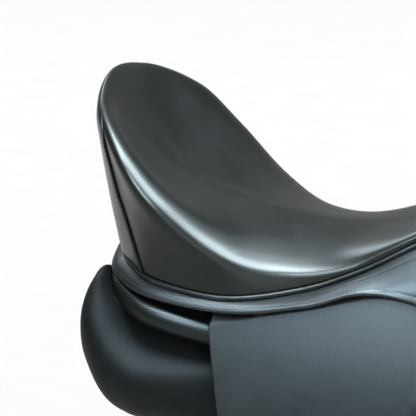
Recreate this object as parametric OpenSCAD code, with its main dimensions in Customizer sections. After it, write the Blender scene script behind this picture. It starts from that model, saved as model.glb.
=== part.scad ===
// Dressage saddle: a leather seat on a moulded tree, carried by two flocked panels,
// with skirts, flaps, sweat flaps, girth straps, stirrup bars and dee rings.
// X runs forward to the pommel, Y to the near side (left), Z up.
// The origin is on the horse's spine line, under the deepest point of the seat.

/* [Seat] */
// Distance from the deepest point of the seat back to the top of the cantle
cantle_x = 222; // [208:1:236]
// Height of the cantle edge above the deepest point
cantle_rise = 124; // [108:1:136]
// Width of the seat across the wings of the cantle
seat_w = 256; // [240:1:268]
// Width of the seat at its waist
waist_w = 166; // [156:1:178]
// Distance from the deepest point forward to the pommel
pommel_x = 225; // [205:1:240]
// Height of the pommel edge above the deepest point
pommel_rise = 72; // [60:1:85]
// Height of the deepest point above the spine line
seat_z = 107; // [102:1:120]
// Height of the lowest point of the welt above the spine line
welt_z = 57; // [54:1:62]
// How far the edge of the seat rolls over
edge_roll = 16; // [12:1:20]

/* [Layers] */
// Thickness of the seat leather
seat_leather = 3; // [2:0.5:4]
// Thickness of the seat foam at the spine
foam_t = 22; // [16:1:24]
// Thickness of a strained web
web_t = 1.6; // [1.2:0.1:2]
// Wall of the moulded tree
tree_t = 8; // [6:0.5:9]
// Clearance between layers that lie on each other
gap = 0.3; // [0.2:0.05:0.5]
// Diameter of the welt round the seat
welt_d = 4.4; // [3:0.2:5]
// Thickness of the skirt leather
skirt_t = 4; // [3:0.5:5]

/* [Flaps] */
// Height of the lower end of the flaps below the spine line
flap_drop = 320; // [290:5:350]
// Thickness of the flap leather
flap_t = 5; // [4:0.5:6]
// Thickness of the sweat flap leather
sweat_t = 3.5; // [2.5:0.5:4]
// Height of the line where the flap bends when it is lifted
flap_bend_z = 26; // [22:1:28]
// Distance from the middle plane to the inside of a hanging flap
flap_y = 170; // [165:1:180]
// Bulge of the flap over the knee block
knee_bulge = 24; // [16:1:28]

/* [Straps] */
// Width of a girth strap
strap_w = 26; // [22:1:30]
// Thickness of a girth strap
strap_t = 4; // [3:0.5:4.5]
// Height of the tip of a girth strap below the spine line
strap_drop = 460; // [430:5:480]
// Radius of a buckle hole
strap_hole_r = 2.5; // [2:0.25:3]
// Spacing of the buckle holes
strap_pitch = 25; // [22:1:28]
// Number of buckle holes in a strap
strap_holes = 8; // [6:1:9]

/* [Metal] */
// Radius of the stirrup bar
bar_r = 5; // [4:0.5:6]
// Length of the stirrup bar
bar_len = 70; // [60:1:76]
// Thickness of the gullet plate
plate_t = 5; // [4:0.5:6]
// Width of the gullet plate along the saddle
plate_w = 26; // [22:1:30]
// Inner radius of the head arch
arch_r = 56; // [50:1:60]
// Radius of the wire of a dee ring
dee_wire_r = 2; // [1.5:0.25:2.5]
// Inside width of a dee ring
dee_w = 24; // [20:1:28]

/* [Hidden] */

leather = [0.07, 0.075, 0.08];
flap_leather = [0.16, 0.18, 0.19];
foam_colour = [0.85, 0.8, 0.62];
web_colour = [0.8, 0.77, 0.7];
tree_colour = [0.25, 0.25, 0.27];
steel = [0.72, 0.73, 0.75];

// Curves and solids

function lerp(a, b, f) = a + (b - a) * f;
function unit(v) = v / norm(v);
function clamp(v, low, high) = min(max(v, low), high);
function mirror_y(p) = [p.x, -p.y, p.z];
function catmull(p0, p1, p2, p3, f) = 0.5 * (2 * p1 + (p2 - p0) * f + (2 * p0 - 5 * p1 + 4 * p2 - p3) * f * f
    + (3 * p1 - p0 - 3 * p2 + p3) * f * f * f);
function bezier(a, b, c, d, f) = a * pow(1 - f, 3) + 3 * b * f * pow(1 - f, 2)
    + 3 * c * f * f * (1 - f) + d * pow(f, 3);

// A smooth open curve through the rows, for u from 0 to 1
function curve(rows, u) =
    let (n = len(rows) - 1, s = clamp(u, 0, 1) * n, i = min(floor(s), n - 1))
    catmull(rows[max(i - 1, 0)], rows[i], rows[i + 1], rows[min(i + 2, n)], s - i);

// A smooth closed curve through the rows, for u from 0 to 1
function closed_curve(rows, u) =
    let (n = len(rows), s = u * n, i = floor(s))
    catmull(rows[(i + n - 1) % n], rows[i % n], rows[(i + 1) % n], rows[(i + 2) % n], s - i);

// A loop that is the same on both sides of the middle plane. The rows are its off-side half, from the back to
// the front; u runs from -1 to 1 and is positive on the off side (negative Y).
function half_loop(rows, u) =
    let (n = len(rows) - 1, s = min(abs(u), 1) * n, i = min(floor(s), n - 1),
         before = i == 0 ? mirror_y(rows[1]) : rows[i - 1],
         after = i + 2 > n ? mirror_y(rows[n - 1]) : rows[i + 2],
         p = catmull(before, rows[i], rows[i + 1], after, s - i))
    [p.x, (u < 0 ? 1 : -1) * p.y, p.z];

function loop_steps(n) = [for (i = [0 : 2 * n - 1]) -1 + i / n];
function steps(n) = [for (i = [0 : n]) i / n];
function volume(p, f) = [for (t = f) cross(p[t[0]], p[t[1]]) * p[t[2]]] * [for (t = f) 1 / 6];

// Faces are turned outwards whichever way the points run
module solid(points, faces) {
    outward = volume(points, faces) < 0;
    polyhedron(points, outward ? faces : [for (f = faces) [f[2], f[1], f[0]]]);
}

function wall_faces(count, n, wrap) = [for (k = [0 : (wrap ? count : count - 1) - 1], i = [0 : n - 1])
    let (a = k * n + i, b = k * n + (i + 1) % n,
         c = ((k + 1) % count) * n + i, d = ((k + 1) % count) * n + (i + 1) % n)
    each [[a, b, d], [a, d, c]]];
// Closes a ring by joining point i to point n - i, which mirrors it
function zip_faces(first, n, flip) = [for (i = [0 : n / 2 - 1])
    let (a = first + i, b = first + i + 1, c = first + (n - i) % n, d = first + n - i - 1)
    for (t = i == 0 ? [[a, b, d]] : i == n / 2 - 1 ? [[a, b, c]] : [[a, b, d], [a, d, c]])
    flip ? [t[2], t[1], t[0]] : t];
function fan_faces(first, n, flip) = [for (i = [1 : n - 2])
    flip ? [first, first + i, first + i + 1] : [first, first + i + 1, first + i]];
function flat(lists) = [for (l = lists, p = l) p];

// Rings joined into a solid with a flat cap at each end
module loft(rings) {
    n = len(rings[0]);
    count = len(rings);
    solid(flat(rings), concat(wall_faces(count, n, false), fan_faces(0, n, false),
        fan_faces((count - 1) * n, n, true)));
}
// Rings joined end to end
module ring_loft(rings) solid(flat(rings), wall_faces(len(rings), len(rings[0]), true));
// Loops round the saddle, closed across the middle plane at both ends
module dome_loft(rings) {
    n = len(rings[0]);
    count = len(rings);
    solid(flat(rings), concat(wall_faces(count, n, false), zip_faces(0, n, true),
        zip_faces((count - 1) * n, n, false)));
}
// Closes the end of a sheet, whose ring runs out along one face and back along the other
function strip_faces(first, n, flip) = [for (i = [0 : n / 2 - 2])
    let (a = first + i, b = first + i + 1, c = first + n - 2 - i, d = first + n - 1 - i)
    each flip ? [[a, b, c], [a, c, d]] : [[c, b, a], [d, c, a]]];
// A sheet given as a grid of outer points and the matching inner points
module sheet(outer, inner) {
    n = 2 * len(outer[0]);
    count = len(outer);
    rings = [for (i = [0 : count - 1]) concat(outer[i], [for (j = [n / 2 - 1 : -1 : 0]) inner[i][j]])];
    solid(flat(rings), concat(wall_faces(count, n, false), strip_faces(0, n, false),
        strip_faces((count - 1) * n, n, true)));
}
module near_side() mirror([0, 1, 0]) children();
module on_side(side) if (side == "left") near_side() children(); else children();

// Seat form

seat_hw = seat_w / 2;
waist_hw = waist_w / 2;
// The edge of the seat, from the top of the cantle round the off side to the pommel
edge_rows = [
    [-cantle_x, 0, seat_z + cantle_rise],
    [-0.955 * cantle_x, 0.54 * seat_hw, seat_z + 0.88 * cantle_rise],
    [-0.8 * cantle_x, 0.91 * seat_hw, seat_z + 0.61 * cantle_rise],
    [-0.635 * cantle_x, seat_hw, seat_z + 0.3 * cantle_rise],
    [-0.42 * cantle_x, 0.9 * seat_hw, seat_z],
    [-0.205 * cantle_x, 1.15 * waist_hw, seat_z - 19],
    [0.045 * pommel_x, waist_hw, seat_z - 18],
    [0.325 * pommel_x, 0.95 * waist_hw, seat_z + 0.08 * pommel_rise],
    [0.62 * pommel_x, 0.84 * waist_hw, seat_z + 0.57 * pommel_rise],
    [0.89 * pommel_x, 0.54 * waist_hw, seat_z + 0.9 * pommel_rise],
    [pommel_x, 0, seat_z + pommel_rise]];
// The lower edge of the seat, where the welt runs
welt_rows = [
    [-0.914 * cantle_x, 0, welt_z + 27],
    [-0.881 * cantle_x, 0.46 * seat_hw, welt_z + 23],
    [-0.802 * cantle_x, 0.72 * seat_hw, welt_z + 17],
    [-0.657 * cantle_x, 0.92 * seat_hw, welt_z + 8],
    [-0.36 * cantle_x, 0.965 * seat_hw, welt_z],
    [-0.068 * cantle_x, 1.27 * waist_hw, welt_z + 8],
    [0.17 * pommel_x, 1.14 * waist_hw, welt_z + 27],
    [0.4 * pommel_x, 1.05 * waist_hw, welt_z + 54],
    [0.667 * pommel_x, 0.88 * waist_hw, welt_z + 82],
    [0.92 * pommel_x, 0.54 * waist_hw, welt_z + 101],
    [1.02 * pommel_x, 0, welt_z + 107]];
spine_share = 0.65;
dish_power = 1.7;

function spine_z(x) = seat_z + (x < 0 ? 0.22 * cantle_rise * pow(-x / (spine_share * cantle_x), 2.2)
    : 0.42 * pommel_rise * pow(x / (spine_share * pommel_x), 1.8));
// How much further a layer drops where the seat is steep
function rim(u) = pow(1 - min(abs(u), 0.5) / 0.5, 2);
function steepness(u) = 1.1 + 0.9 * rim(u) + 0.5 * pow(max(abs(u) - 0.6, 0) / 0.4, 2);
function foot_at(u, depth) = let (x = spine_share * half_loop(edge_rows, u).x) [x, 0, spine_z(x) - depth];
function outward_at(u) = let (e = half_loop(edge_rows, u)) unit([(1 - spine_share) * e.x, e.y, 0]);
// The edge of a layer lies lower and further in, most of all under the sharp rim of the cantle
function edge_at(u, depth) = let (skin = min(depth, 4)) half_loop(edge_rows, u)
    - [0, 0, depth * steepness(u) + 1.6 * skin * rim(u)] - skin * (0.25 + 0.5 * rim(u)) * outward_at(u);
function welt_at(u, depth) = half_loop(welt_rows, u) - depth * outward_at(u);

// How the dish rises from the spine to the edge
// Towards both ends of the seat it goes on at the slope of the spine
function dish_slope(u) = let (o = outward_at(u)) (o.x < 0 ? 0.33 : 0.7) * o.x * o.x;
function dish_at(u, r) = let (a = dish_slope(u)) a * r + (1 - a) * pow(r, dish_power);
// A point on the top of the seat, r from 0 at the spine to 1 at the edge, sunk to a depth below the surface
function top_at(u, r, depth) =
    let (e = edge_at(u, depth), f = foot_at(u, depth))
    [lerp(f.x, e.x, r), lerp(f.y, e.y, r), lerp(f.z, e.z, dish_at(u, r))];
// A point on the side of the seat, s from 0 at the edge to 1 at the welt
back_bulge = 26;
function side_at(u, s, depth) =
    let (e = edge_at(u, depth), w = welt_at(u, depth), f = foot_at(u, depth),
         a = dish_slope(u), rise = unit([e.x - f.x, e.y - f.y, (a + (1 - a) * dish_power) * (e.z - f.z)]))
    bezier(e, e + rise * (edge_roll - depth),
        w + [0, 0, 0.45 * (e.z - w.z)] + outward_at(u) * back_bulge * rim(u), w, s);

seat_n = 28;
top_steps = [0.12, 0.3, 0.48, 0.64, 0.78, 0.9, 1];
side_steps = [0.16, 0.32, 0.5, 0.75, 1];

function top_ring(r, depth, n) = [for (u = loop_steps(n)) top_at(u, r, depth)];
function side_ring(s, depth, n) = [for (u = loop_steps(n)) side_at(u, s, depth)];

module seat_cover() color(leather) dome_loft(concat(
    [for (r = top_steps) top_ring(r, 0, seat_n)],
    [for (s = side_steps) side_ring(s, 0, seat_n)],
    [for (s = [1, 0.5, 0.16]) side_ring(s, seat_leather, seat_n)],
    [for (r = [1, 0.75, 0.45, 0.12]) top_ring(r, seat_leather, seat_n)]));

foam_top = seat_leather + 2 * gap;
foam_low = foam_top + foam_t;
module seat_foam() color(foam_colour) dome_loft(concat(
    [for (r = [0.12, 0.4, 0.65, 0.88]) top_ring(r, foam_low, seat_n)],
    [for (r = [0.94, 0.75, 0.45, 0.12]) top_ring(r, foam_top, seat_n)]));

web_top = foam_low + 2 * gap;
web_low = web_top + web_t + 2 * gap;
tree_top = web_low + web_t + 2 * gap;
tree_low = tree_top + tree_t;
tree_r = 0.84;
// The moulded tree is a dished ring; at the cantle it stops short of the back wall of the seat
function tree_ring(r, depth, n) = [for (u = loop_steps(n))
    top_at(u, r * (1 - 0.14 * max(1 - abs(u) / 0.3, 0)), depth)];
tree_steps = [0.36, 0.52, 0.68, tree_r];
module tree() color(tree_colour) ring_loft(concat(
    [for (i = [0 : 3]) tree_ring(tree_steps[i], tree_top, 24)],
    [for (i = [3 : -1 : 0]) tree_ring(tree_steps[i], tree_low, 24)]));

// Two lengthwise webs strained from the head to the cantle, over the opening of the tree
web_rs = [0.12, 0.28, 0.44];
function seat_web_grid(depth) = [for (u = [0.04 : 0.046 : 0.97]) [for (r = web_rs) top_at(u, r, depth)]];
module seat_web(side) color(web_colour) on_side(side)
    sheet(seat_web_grid(web_low), seat_web_grid(web_low + web_t));

// Welt, skirts and facings follow the lower edge of the seat

function below_welt(u, drop) = welt_at(u, 0) - [0, 0, drop];
function tube_ring(centre, across, up, rx, ry, sides) = [for (i = [0 : sides - 1])
    centre + across * rx * cos(360 * i / sides) + up * ry * sin(360 * i / sides)];
welt_r = welt_d / 2;
module seat_welt() color(leather) ring_loft([for (u = loop_steps(30))
    tube_ring(below_welt(u, welt_r + 2 * gap) - 0.2 * welt_r * outward_at(u), outward_at(u), [0, 0, 1],
        welt_r, welt_r, 7)]);

// How far the lower edge of the skirt lies from the welt, from the back round to the pommel
skirt_spread = [[-9, 0, -16], [-8.5, 4, -15], [-11, 4, -14], [-6, 8, -12], [1, 8, -12],
    [9, 22, -10], [7, 26, -15],
    [4, 34, -46], [2, 57, -90], [-4, 43, -53], [-7, 0, -52]];
skirt_rows = welt_rows + skirt_spread;
skirt_front = 0.9;
// A band of leather that hangs from the welt. v runs from its top to its lower edge.
function band_at(u, v, depth) =
    let (top = below_welt(u, welt_d + 3 * gap), low = half_loop(skirt_rows, u), o = outward_at(u),
         run = low - top, bow = 0.12 * norm(run),
         face = unit([o.x * -run.z, o.y * -run.z, norm([run.x, run.y])]))
    lerp(top, low, v) + o * bow * sin(180 * v) - face * depth;
band_steps = [0, 0.25, 0.5, 0.75, 1];
function band_row(u, depth) = [for (v = band_steps) band_at(u, v, depth)];
function band_us(a, b, n) = [for (f = steps(n)) lerp(a, b, f)];
module band(us) sheet([for (u = us) band_row(u, 0)], [for (u = us) band_row(u, skirt_t)]);
seam = 0.0008;
module skirt(side) color(leather) on_side(side) band(band_us(seam, skirt_front, 30));
module front_facing() color(leather) band([for (f = steps(10))
    let (u = lerp(skirt_front + 0.012, 2 - skirt_front - 0.012, f))
    u > 1 ? u - 2 : u]);

// Rolled facing on the back of the panels, under the skirt
facing_spread = [[-3, 0, -30.6], [-2, 4, -30.1], [-5, 5, -29.1], [-1, 8, -32], [12, -9, -42], [10, -28, -55]];
facing_rows = [for (i = [0 : len(facing_spread) - 1]) welt_rows[i] + facing_spread[i]];
facing_out = 9;
facing_up = 10.5;
facing_reach = 0.8;
module rear_facing() color(leather) loft([for (f = steps(40)) let (u = facing_reach * (2 * f - 1))
    tube_ring(half_loop(facing_rows, u), outward_at(u / 2), [0, 0, 1], facing_out, facing_up, 10)]);

// Panels

panel_back = 220;
panel_front = 205;
panel_x = [-210, -203.5, -194, -180, -160, -80, -20, 100, 190];
// Sections of the off-side panel, as [distance from the middle plane, height], at the stations above
panel_sections = [
    [[54, 71], [78, 68], [106, 59], [137, 30], [134, -14], [110, -32], [74, -20], [46, 4]],
    [[48, 31], [74, 36], [100, 57], [140, 20], [137, -24], [110, -42], [73, -25], [41, 0]],
    [[40, 37], [72, 33], [112, 36], [143, 4], [140, -35], [110, -53], [72, -31], [36, -4]],
    [[38, 46], [70, 41], [98, 28.5], [146, -4], [141, -40], [111, -60], [71, -35], [34, -4]],
    [[36, 68], [72, 64], [106, 20], [149, -15], [143, -46], [112, -66], [70, -39], [32, -4]],
    [[32, 50], [66, 48], [101, 8], [130, -16], [132, -52], [108, -66], [68, -34], [32, -2]],
    [[32, 46], [70, 46], [110, 26], [122, -4], [124, -38], [104, -52], [68, -30], [32, -2]],
    [[34, 60], [66, 62], [100, 40], [118, 4], [118, -40], [104, -58], [74, -16], [38, 12]],
    [[42, 58], [58, 56], [78, 36], [100, 2], [108, -44], [98, -62], [80, -20], [54, 28]]];
function panel_station(x) = lookup(x, [for (i = [0 : 8]) [panel_x[i], i / 8]]);
function panel_rows(x) = [for (j = [0 : 7]) curve([for (s = panel_sections) s[j]], panel_station(x))];
function panel_scale(x) =
    let (mid = (panel_front - panel_back) / 2, half = (panel_front + panel_back) / 2 + 1)
    pow(1 - pow(abs(x - mid) / half, x < mid ? 15 : 10), 1 / 2.6);
function panel_ring(x, n) =
    let (rows = panel_rows(x), middle = [for (r = rows) 1 / 8] * rows, s = panel_scale(x))
    [for (i = [0 : n - 1]) let (p = middle + (closed_curve(rows, i / n) - middle) * s) [x, -p.x, p.y]];
module panel(side) color(leather) on_side(side) loft([for (f = steps(36))
    panel_ring(lerp(-panel_back, panel_front, 0.5 - 0.5 * cos(180 * f)), 20)]);

// Flaps hang in layers: panel, sweat flap, girth straps, flap

flare = 84;
flare_power = 2.2;
flare_low = -160;
flare_high = 100;
strap_room = 2.8;
function hang_y(z) = flap_y - flare * pow(max(z - flare_low, 0) / (flare_high - flare_low), flare_power);
knee_x = 150;
knee_z = -95;
knee_rx = 58;
knee_rz = 115;
function bulge(x, z) = knee_bulge
    * pow(max(1 - pow((x - knee_x) / knee_rx, 2) - pow((z - knee_z) / knee_rz, 2), 0), 1.3);
flap_corner = [-92, 30];
function flap_back(z) = flap_corner.x
    + (z > -50 ? 0.24 * (flap_corner.y - z) : 20.2 + 0.12 * (-50 - z));
function flap_ahead(z) = 206 - 0.0006 * pow(z + 60, 2);
function flap_top(x) = min(flap_corner.y + 0.24 * (x - flap_corner.x), 72 - 0.02 * pow(max(x - 165, 0), 2));
// The lower end of a flap draws in to a round toe
function toe(z, start, low) = pow(1 - pow(clamp((start - z) / (start - low), 0, 0.995), 3), 1 / 2.2);
function leaf_x(z, f, start, low, inset) =
    let (a = flap_back(z) + 2.2 * inset, b = flap_ahead(z) - inset,
         m = lerp(a, b, 0.55), t = toe(z, start, low))
    lerp(lerp(m, a, t), lerp(m, b, t), f);
function leaf_rows(top, low, n) = [for (f = steps(n)) lerp(top, low, 1 - pow(1 - f, 1.35))];
function flap_point(x, z, depth) = [x, -(hang_y(z) + bulge(x, z) + flap_t - depth), z];
toe_start = -170;
function flap_grid(depth) = [for (z = leaf_rows(flap_bend_z - gap, -flap_drop, 18)) [for (f = steps(14))
    flap_point(leaf_x(z, f, toe_start, -flap_drop - 0.5, 0), z, depth)]];
module flap(side) color(flap_leather) on_side(side) sheet(flap_grid(0), flap_grid(flap_t));

// The head of the flap lies under the skirt. Its back end turns in to the edge of the tree.
function tree_edge(x) = let (u = 0.5 + (x + 43) / 520)
    top_at(u, tree_r, tree_top + tree_t / 2) + 2 * gap * outward_at(u);
function turn_in(x) = 1 - clamp((x + 64) / 12, 0, 0.98);
head_xs = concat([flap_corner.x, -82, -73, -66, -61, -56, -52],
    [for (f = steps(10)) lerp(-36, flap_ahead(flap_bend_z), f)]);
function head_up(x, v, depth) =
    let (z = lerp(flap_bend_z, flap_top(x), v)) flap_point(max(x, flap_back(z)), z, depth);
function head_in(x, v, depth) =
    lerp(head_up(x, 1, depth), tree_edge(x) - [0, 0, depth - flap_t / 2], v * turn_in(x));
function head_grid(depth) = [for (x = head_xs)
    concat([for (v = steps(3)) head_up(x, v, depth)], [for (v = [0.25, 0.6, 1]) head_in(x, v, depth)])];
module flap_head(side) color(flap_leather) on_side(side) sheet(head_grid(0), head_grid(flap_t));

layer_in = strap_t + 2 * strap_room;
sweat_top = 42;
sweat_low = flap_drop - 26;
sweat_inset = 16;
function sweat_grid(depth) = [for (z = leaf_rows(sweat_top, -sweat_low, 12)) [for (f = steps(6))
    [leaf_x(z, f, toe_start, -sweat_low - 0.5, sweat_inset), -(hang_y(z) - layer_in - depth), z]]];
module sweat_flap(side) color(leather) on_side(side) sheet(sweat_grid(0), sweat_grid(sweat_t));

// Padded block in front of the knee, on the sweat flap
block_rx = knee_rx - 8;
block_rz = knee_rz - 14;
function block_point(x, z, out) =
    [x, -(hang_y(z) - layer_in + 2 * gap + (out ? layer_in - 2.4 + 0.8 * bulge(x, z) : 0)), z];
function block_grid(out) = [for (f = steps(12))
    let (z = knee_z - block_rz * cos(lerp(8, 172, f)),
         h = block_rx * sqrt(1 - pow((z - knee_z) / block_rz, 2)))
    [for (k = steps(8)) block_point(knee_x + h * (2 * k - 1), z, out)]];
module knee_block(side) color(leather) on_side(side) sheet(block_grid(true), block_grid(false));

// Girth straps

strap_top = 46;
strap_x = [50, -30];
tip_len = 22;
function strap_side(depth) = [for (z = [strap_top : -13 : flare_low]) [hang_y(z) - strap_room - depth, z]];
module girth_strap(k, side) color(leather) on_side(side) difference() {
    intersection() {
        translate([strap_x[k] - strap_w / 2, 0, 0]) rotate([90, 0, 90]) linear_extrude(strap_w)
            polygon(concat([for (p = strap_side(0)) [-p.x, p.y]],
                [[-(flap_y - strap_room), -strap_drop], [-(flap_y - strap_room - strap_t), -strap_drop]],
                [for (i = [len(strap_side(0)) - 1 : -1 : 0]) let (p = strap_side(strap_t)[i]) [-p.x, p.y]]));
        translate([strap_x[k], 0, 0]) rotate([90, 0, 0]) linear_extrude(2 * flap_y)
            polygon([[-strap_w / 2, strap_top + 1], [strap_w / 2, strap_top + 1],
                [strap_w / 2, tip_len - strap_drop], [strap_w / 6, -strap_drop],
                [-strap_w / 6, -strap_drop], [-strap_w / 2, tip_len - strap_drop]]);
    }
    for (i = [0 : strap_holes - 1])
        translate([strap_x[k], 0, 2 * tip_len - strap_drop + i * strap_pitch]) rotate([90, 0, 0])
            cylinder(r = strap_hole_r, h = 2 * flap_y, $fn = 32);
}

// Webs under the girth straps run across the tree and down to the heads of the straps
web_u = [0.66, 0.522];
web_half = 0.02;
// Room for the strap to swing on the end of its web
web_room = 0.9;
function web_side(k, f, depth) = concat(
    [for (z = [33, 46])
        [strap_x[k] + f * strap_w * 0.45, -(hang_y(z) - strap_room - strap_t - web_room - depth), z]],
    [let (e = top_at(web_u[k] + f * web_half, 1, web_top + depth))
        [strap_x[k] + f * strap_w * 0.45, e.y, e.z]],
    [for (r = [tree_r, 0.6, 0.44, 0.28, 0.12]) top_at(web_u[k] + f * web_half, r, web_top + depth)]);
function web_across(k, f, depth) = let (off = web_side(k, f, depth), n = len(off))
    concat(off, [for (i = [n - 1 : -1 : 0]) mirror_y(off[i])]);
module girth_web(k) color(web_colour) sheet([for (f = [-1, 0, 1]) web_across(k, f, 0)],
    [for (f = [-1, 0, 1]) web_across(k, f, web_t)]);

// Leather on the back of the cantle
cantle_t = 1.6;
function cantle_grid(out) = [for (i = [-5 : 5]) [for (s = [0.32, 0.5, 0.75, 1])
    side_at(i / seat_n, s, 0) + out * outward_at(i / seat_n)]];
module cantle_back() color(leather) sheet(cantle_grid(4 * gap + cantle_t), cantle_grid(4 * gap));

// Steelwork of the head

plate_x = 178;
arch_z = 44;
// The points of the head arch reach as far out as the side rails of the tree
point_share = 0.8234;
leg_len = sqrt(2) * point_share * seat_hw - arch_r - plate_t;
// The head arch bends over the withers, and its legs run down at 45 degrees
function turn_45(p) = [p.x - p.y, p.x + p.y] / sqrt(2);
function arch_path(r, drop) = concat([turn_45([r, -drop])], [for (t = [45 : 5 : 135]) r * [cos(t), sin(t)]],
    [let (p = turn_45([r, -drop])) [-p.x, p.y]]);
module arch_band(a, b, drop) {
    low = arch_path(a, drop);
    polygon(concat(arch_path(b, drop), [for (i = [len(low) - 1 : -1 : 0]) low[i]]));
}
module head_frame() translate([plate_x, 0, arch_z]) rotate([90, 0, 90]) children();
module gullet_plate() color(steel) head_frame() linear_extrude(plate_w)
    arch_band(arch_r, arch_r + plate_t, leg_len);

rivet_r = 2.5;
rivet_y = 22;
function arch_under(y) = arch_z + sqrt(arch_r * arch_r - y * y);
rivet_top = arch_z + arch_r + 20;
function rivet_low(y) = arch_under(max(abs(y) - rivet_r, 0)) + 0.6;
module head_rivets() color(steel) for (y = [-rivet_y, 0, rivet_y])
    translate([plate_x + plate_w / 2, y, 0]) {
        translate([0, 0, rivet_top - 2]) cylinder(r = 1.8 * rivet_r, h = 2, $fn = 32);
        translate([0, 0, rivet_low(y)]) cylinder(r = rivet_r, h = rivet_top - rivet_low(y), $fn = 32);
    }

// Leather over the front and the underside of the head arch, down to the pockets
lining_wall = 2.2;
module head_lining() color(leather) head_frame() {
    drop = leg_len - pocket_len - 2;
    linear_extrude(plate_w + gap + lining_wall) arch_band(arch_r - gap - lining_wall, arch_r - gap, drop);
    translate([0, 0, plate_w + gap]) linear_extrude(lining_wall)
        arch_band(arch_r - gap - lining_wall, arch_r + plate_t, drop);
}

// A leather pocket on the panel takes each point of the head arch
pocket_wall = 2.5;
pocket_len = 38;
module point_pocket(side) color(leather) on_side(side) head_frame() mirror([1, 0]) rotate(45)
    translate([arch_r, -leg_len, 0]) difference() {
        room = pocket_wall + gap;
        translate([-room, -room, -room]) cube([plate_t + 2 * room, pocket_len, plate_w + 2 * room]);
        translate([-gap, -gap, -gap]) cube([plate_t + 2 * gap, pocket_len, plate_w + 2 * gap]);
    }

// Stirrup bars, open at the back, with a catch that turns up there

bar_x = 88;
bar_y = 85;
bar_z = 74;
bar_plate_y = 68.3;
bar_plate_t = 4;
lug_w = 11;
pin_x = bar_x + bar_r;
pin_r = 1.5;
tongue_w = 3.6;
slot_w = 4.2;
bar_end = bar_x + bar_len;
module along_x(x, r, h) translate([x, 0, 0]) rotate([0, 90, 0]) cylinder(r = r, h = h, $fn = 48);
module across(x, r, h) translate([x, h / 2, 0]) rotate([90, 0, 0]) cylinder(r = r, h = h, $fn = 48);
module stirrup_bar(side) color(steel) on_side(side) {
    translate([0, -bar_y, bar_z]) {
        difference() {
            intersection() {
                along_x(bar_x, bar_r, bar_len);
                union() {
                    across(pin_x, bar_r, 3 * bar_r);
                    translate([pin_x, -2 * bar_r, -2 * bar_r]) cube([bar_len, 4 * bar_r, 4 * bar_r]);
                }
            }
            translate([bar_x - 1, -slot_w / 2, -2 * bar_r]) cube([2.4 * bar_r + 1, slot_w, 4 * bar_r]);
        }
        across(pin_x, pin_r, slot_w + 2);
        translate([bar_len + bar_x - lug_w, 0, -bar_r]) cube([lug_w, bar_y - bar_plate_y, 2 * bar_r]);
    }
    translate([0, -bar_plate_y, 0]) rotate([90, 0, 0]) linear_extrude(bar_plate_t)
        polygon([[bar_x - 6, 77], [bar_x - 6, 88], [bar_end, 118], [bar_end, bar_z - bar_r],
            [bar_end - lug_w, bar_z - bar_r],
            [bar_end - lug_w, 92]]);
}
bar_rivets_at = [[97, 86.5], [131, 102]];
module bar_rivets(side) color(steel) on_side(side) for (p = bar_rivets_at)
    translate([p[0], -bar_plate_y - bar_plate_t - 1.6, p[1]]) rotate([-90, 0, 0]) {
        cylinder(r = 3.6, h = 1.6, $fn = 32);
        cylinder(r = 2, h = bar_plate_t + 17, $fn = 32);
    }
catch_r = bar_r - 0.4;
catch_len = 10;
catch_gap = 2;
module safety_catch(side) color(steel) on_side(side) translate([0, -bar_y, bar_z]) difference() {
    union() {
        along_x(bar_x - catch_gap - catch_len, catch_r, catch_len);
        translate([bar_x - catch_gap - catch_len, 0, 0]) sphere(r = catch_r, $fn = 32);
        across(pin_x, 0.8 * bar_r, tongue_w);
        translate([bar_x - catch_gap - 1, -tongue_w / 2, -0.6 * bar_r])
            cube([bar_r + catch_gap + 1, tongue_w, 1.2 * bar_r]);
    }
    across(pin_x, pin_r + 0.06, 2 * bar_r);
}

// Dee rings hang from staples in the front of the head arch

dee_y = 62;
chape_t = 2;
chape_x = gap + lining_wall + 0.1;
loop_z = 2 * dee_wire_r + gap;
dee_x = chape_x + chape_t + gap + dee_wire_r;
staple_x = dee_x + loop_z;
module dee_frame() translate([plate_x + plate_w, -dee_y, arch_z + sqrt(2) * (arch_r + plate_t / 2) - dee_y])
    rotate([45, 0, 0]) children();
module wire(r, h) cylinder(r = r, h = h, $fn = 24);
module dee_staple(side) color(steel) on_side(side) dee_frame() {
    translate([chape_x, -7, -loop_z - 3]) cube([chape_t, 14, 2 * loop_z + 6]);
    translate([-6, 0, 0]) rotate([0, 90, 0]) wire(1.5, chape_x + 7);
    for (z = [-loop_z, loop_z]) {
        translate([chape_x + 1, 0, z]) rotate([0, 90, 0]) wire(dee_wire_r, staple_x - chape_x - 1);
        translate([staple_x, 0, z]) sphere(r = dee_wire_r, $fn = 24);
    }
    translate([staple_x, 0, -loop_z]) wire(dee_wire_r, 2 * loop_z);
}
dee_r = dee_w / 2 + dee_wire_r;
module dee_ring(side) color(steel) on_side(side) dee_frame() translate([dee_x, 0, 0]) {
    translate([0, dee_r, 0]) rotate([90, 0, 0]) wire(dee_wire_r, 2 * dee_r);
    intersection() {
        rotate([0, 90, 0]) rotate_extrude($fn = 64) translate([dee_r, 0]) circle(r = dee_wire_r, $fn = 24);
        translate([-dee_r, -2 * dee_r, -2 * dee_r]) cube([2 * dee_r, 4 * dee_r, 2 * dee_r]);
    }
    for (y = [-dee_r, dee_r]) translate([0, y, 0]) sphere(r = dee_wire_r, $fn = 24);
}

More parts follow.
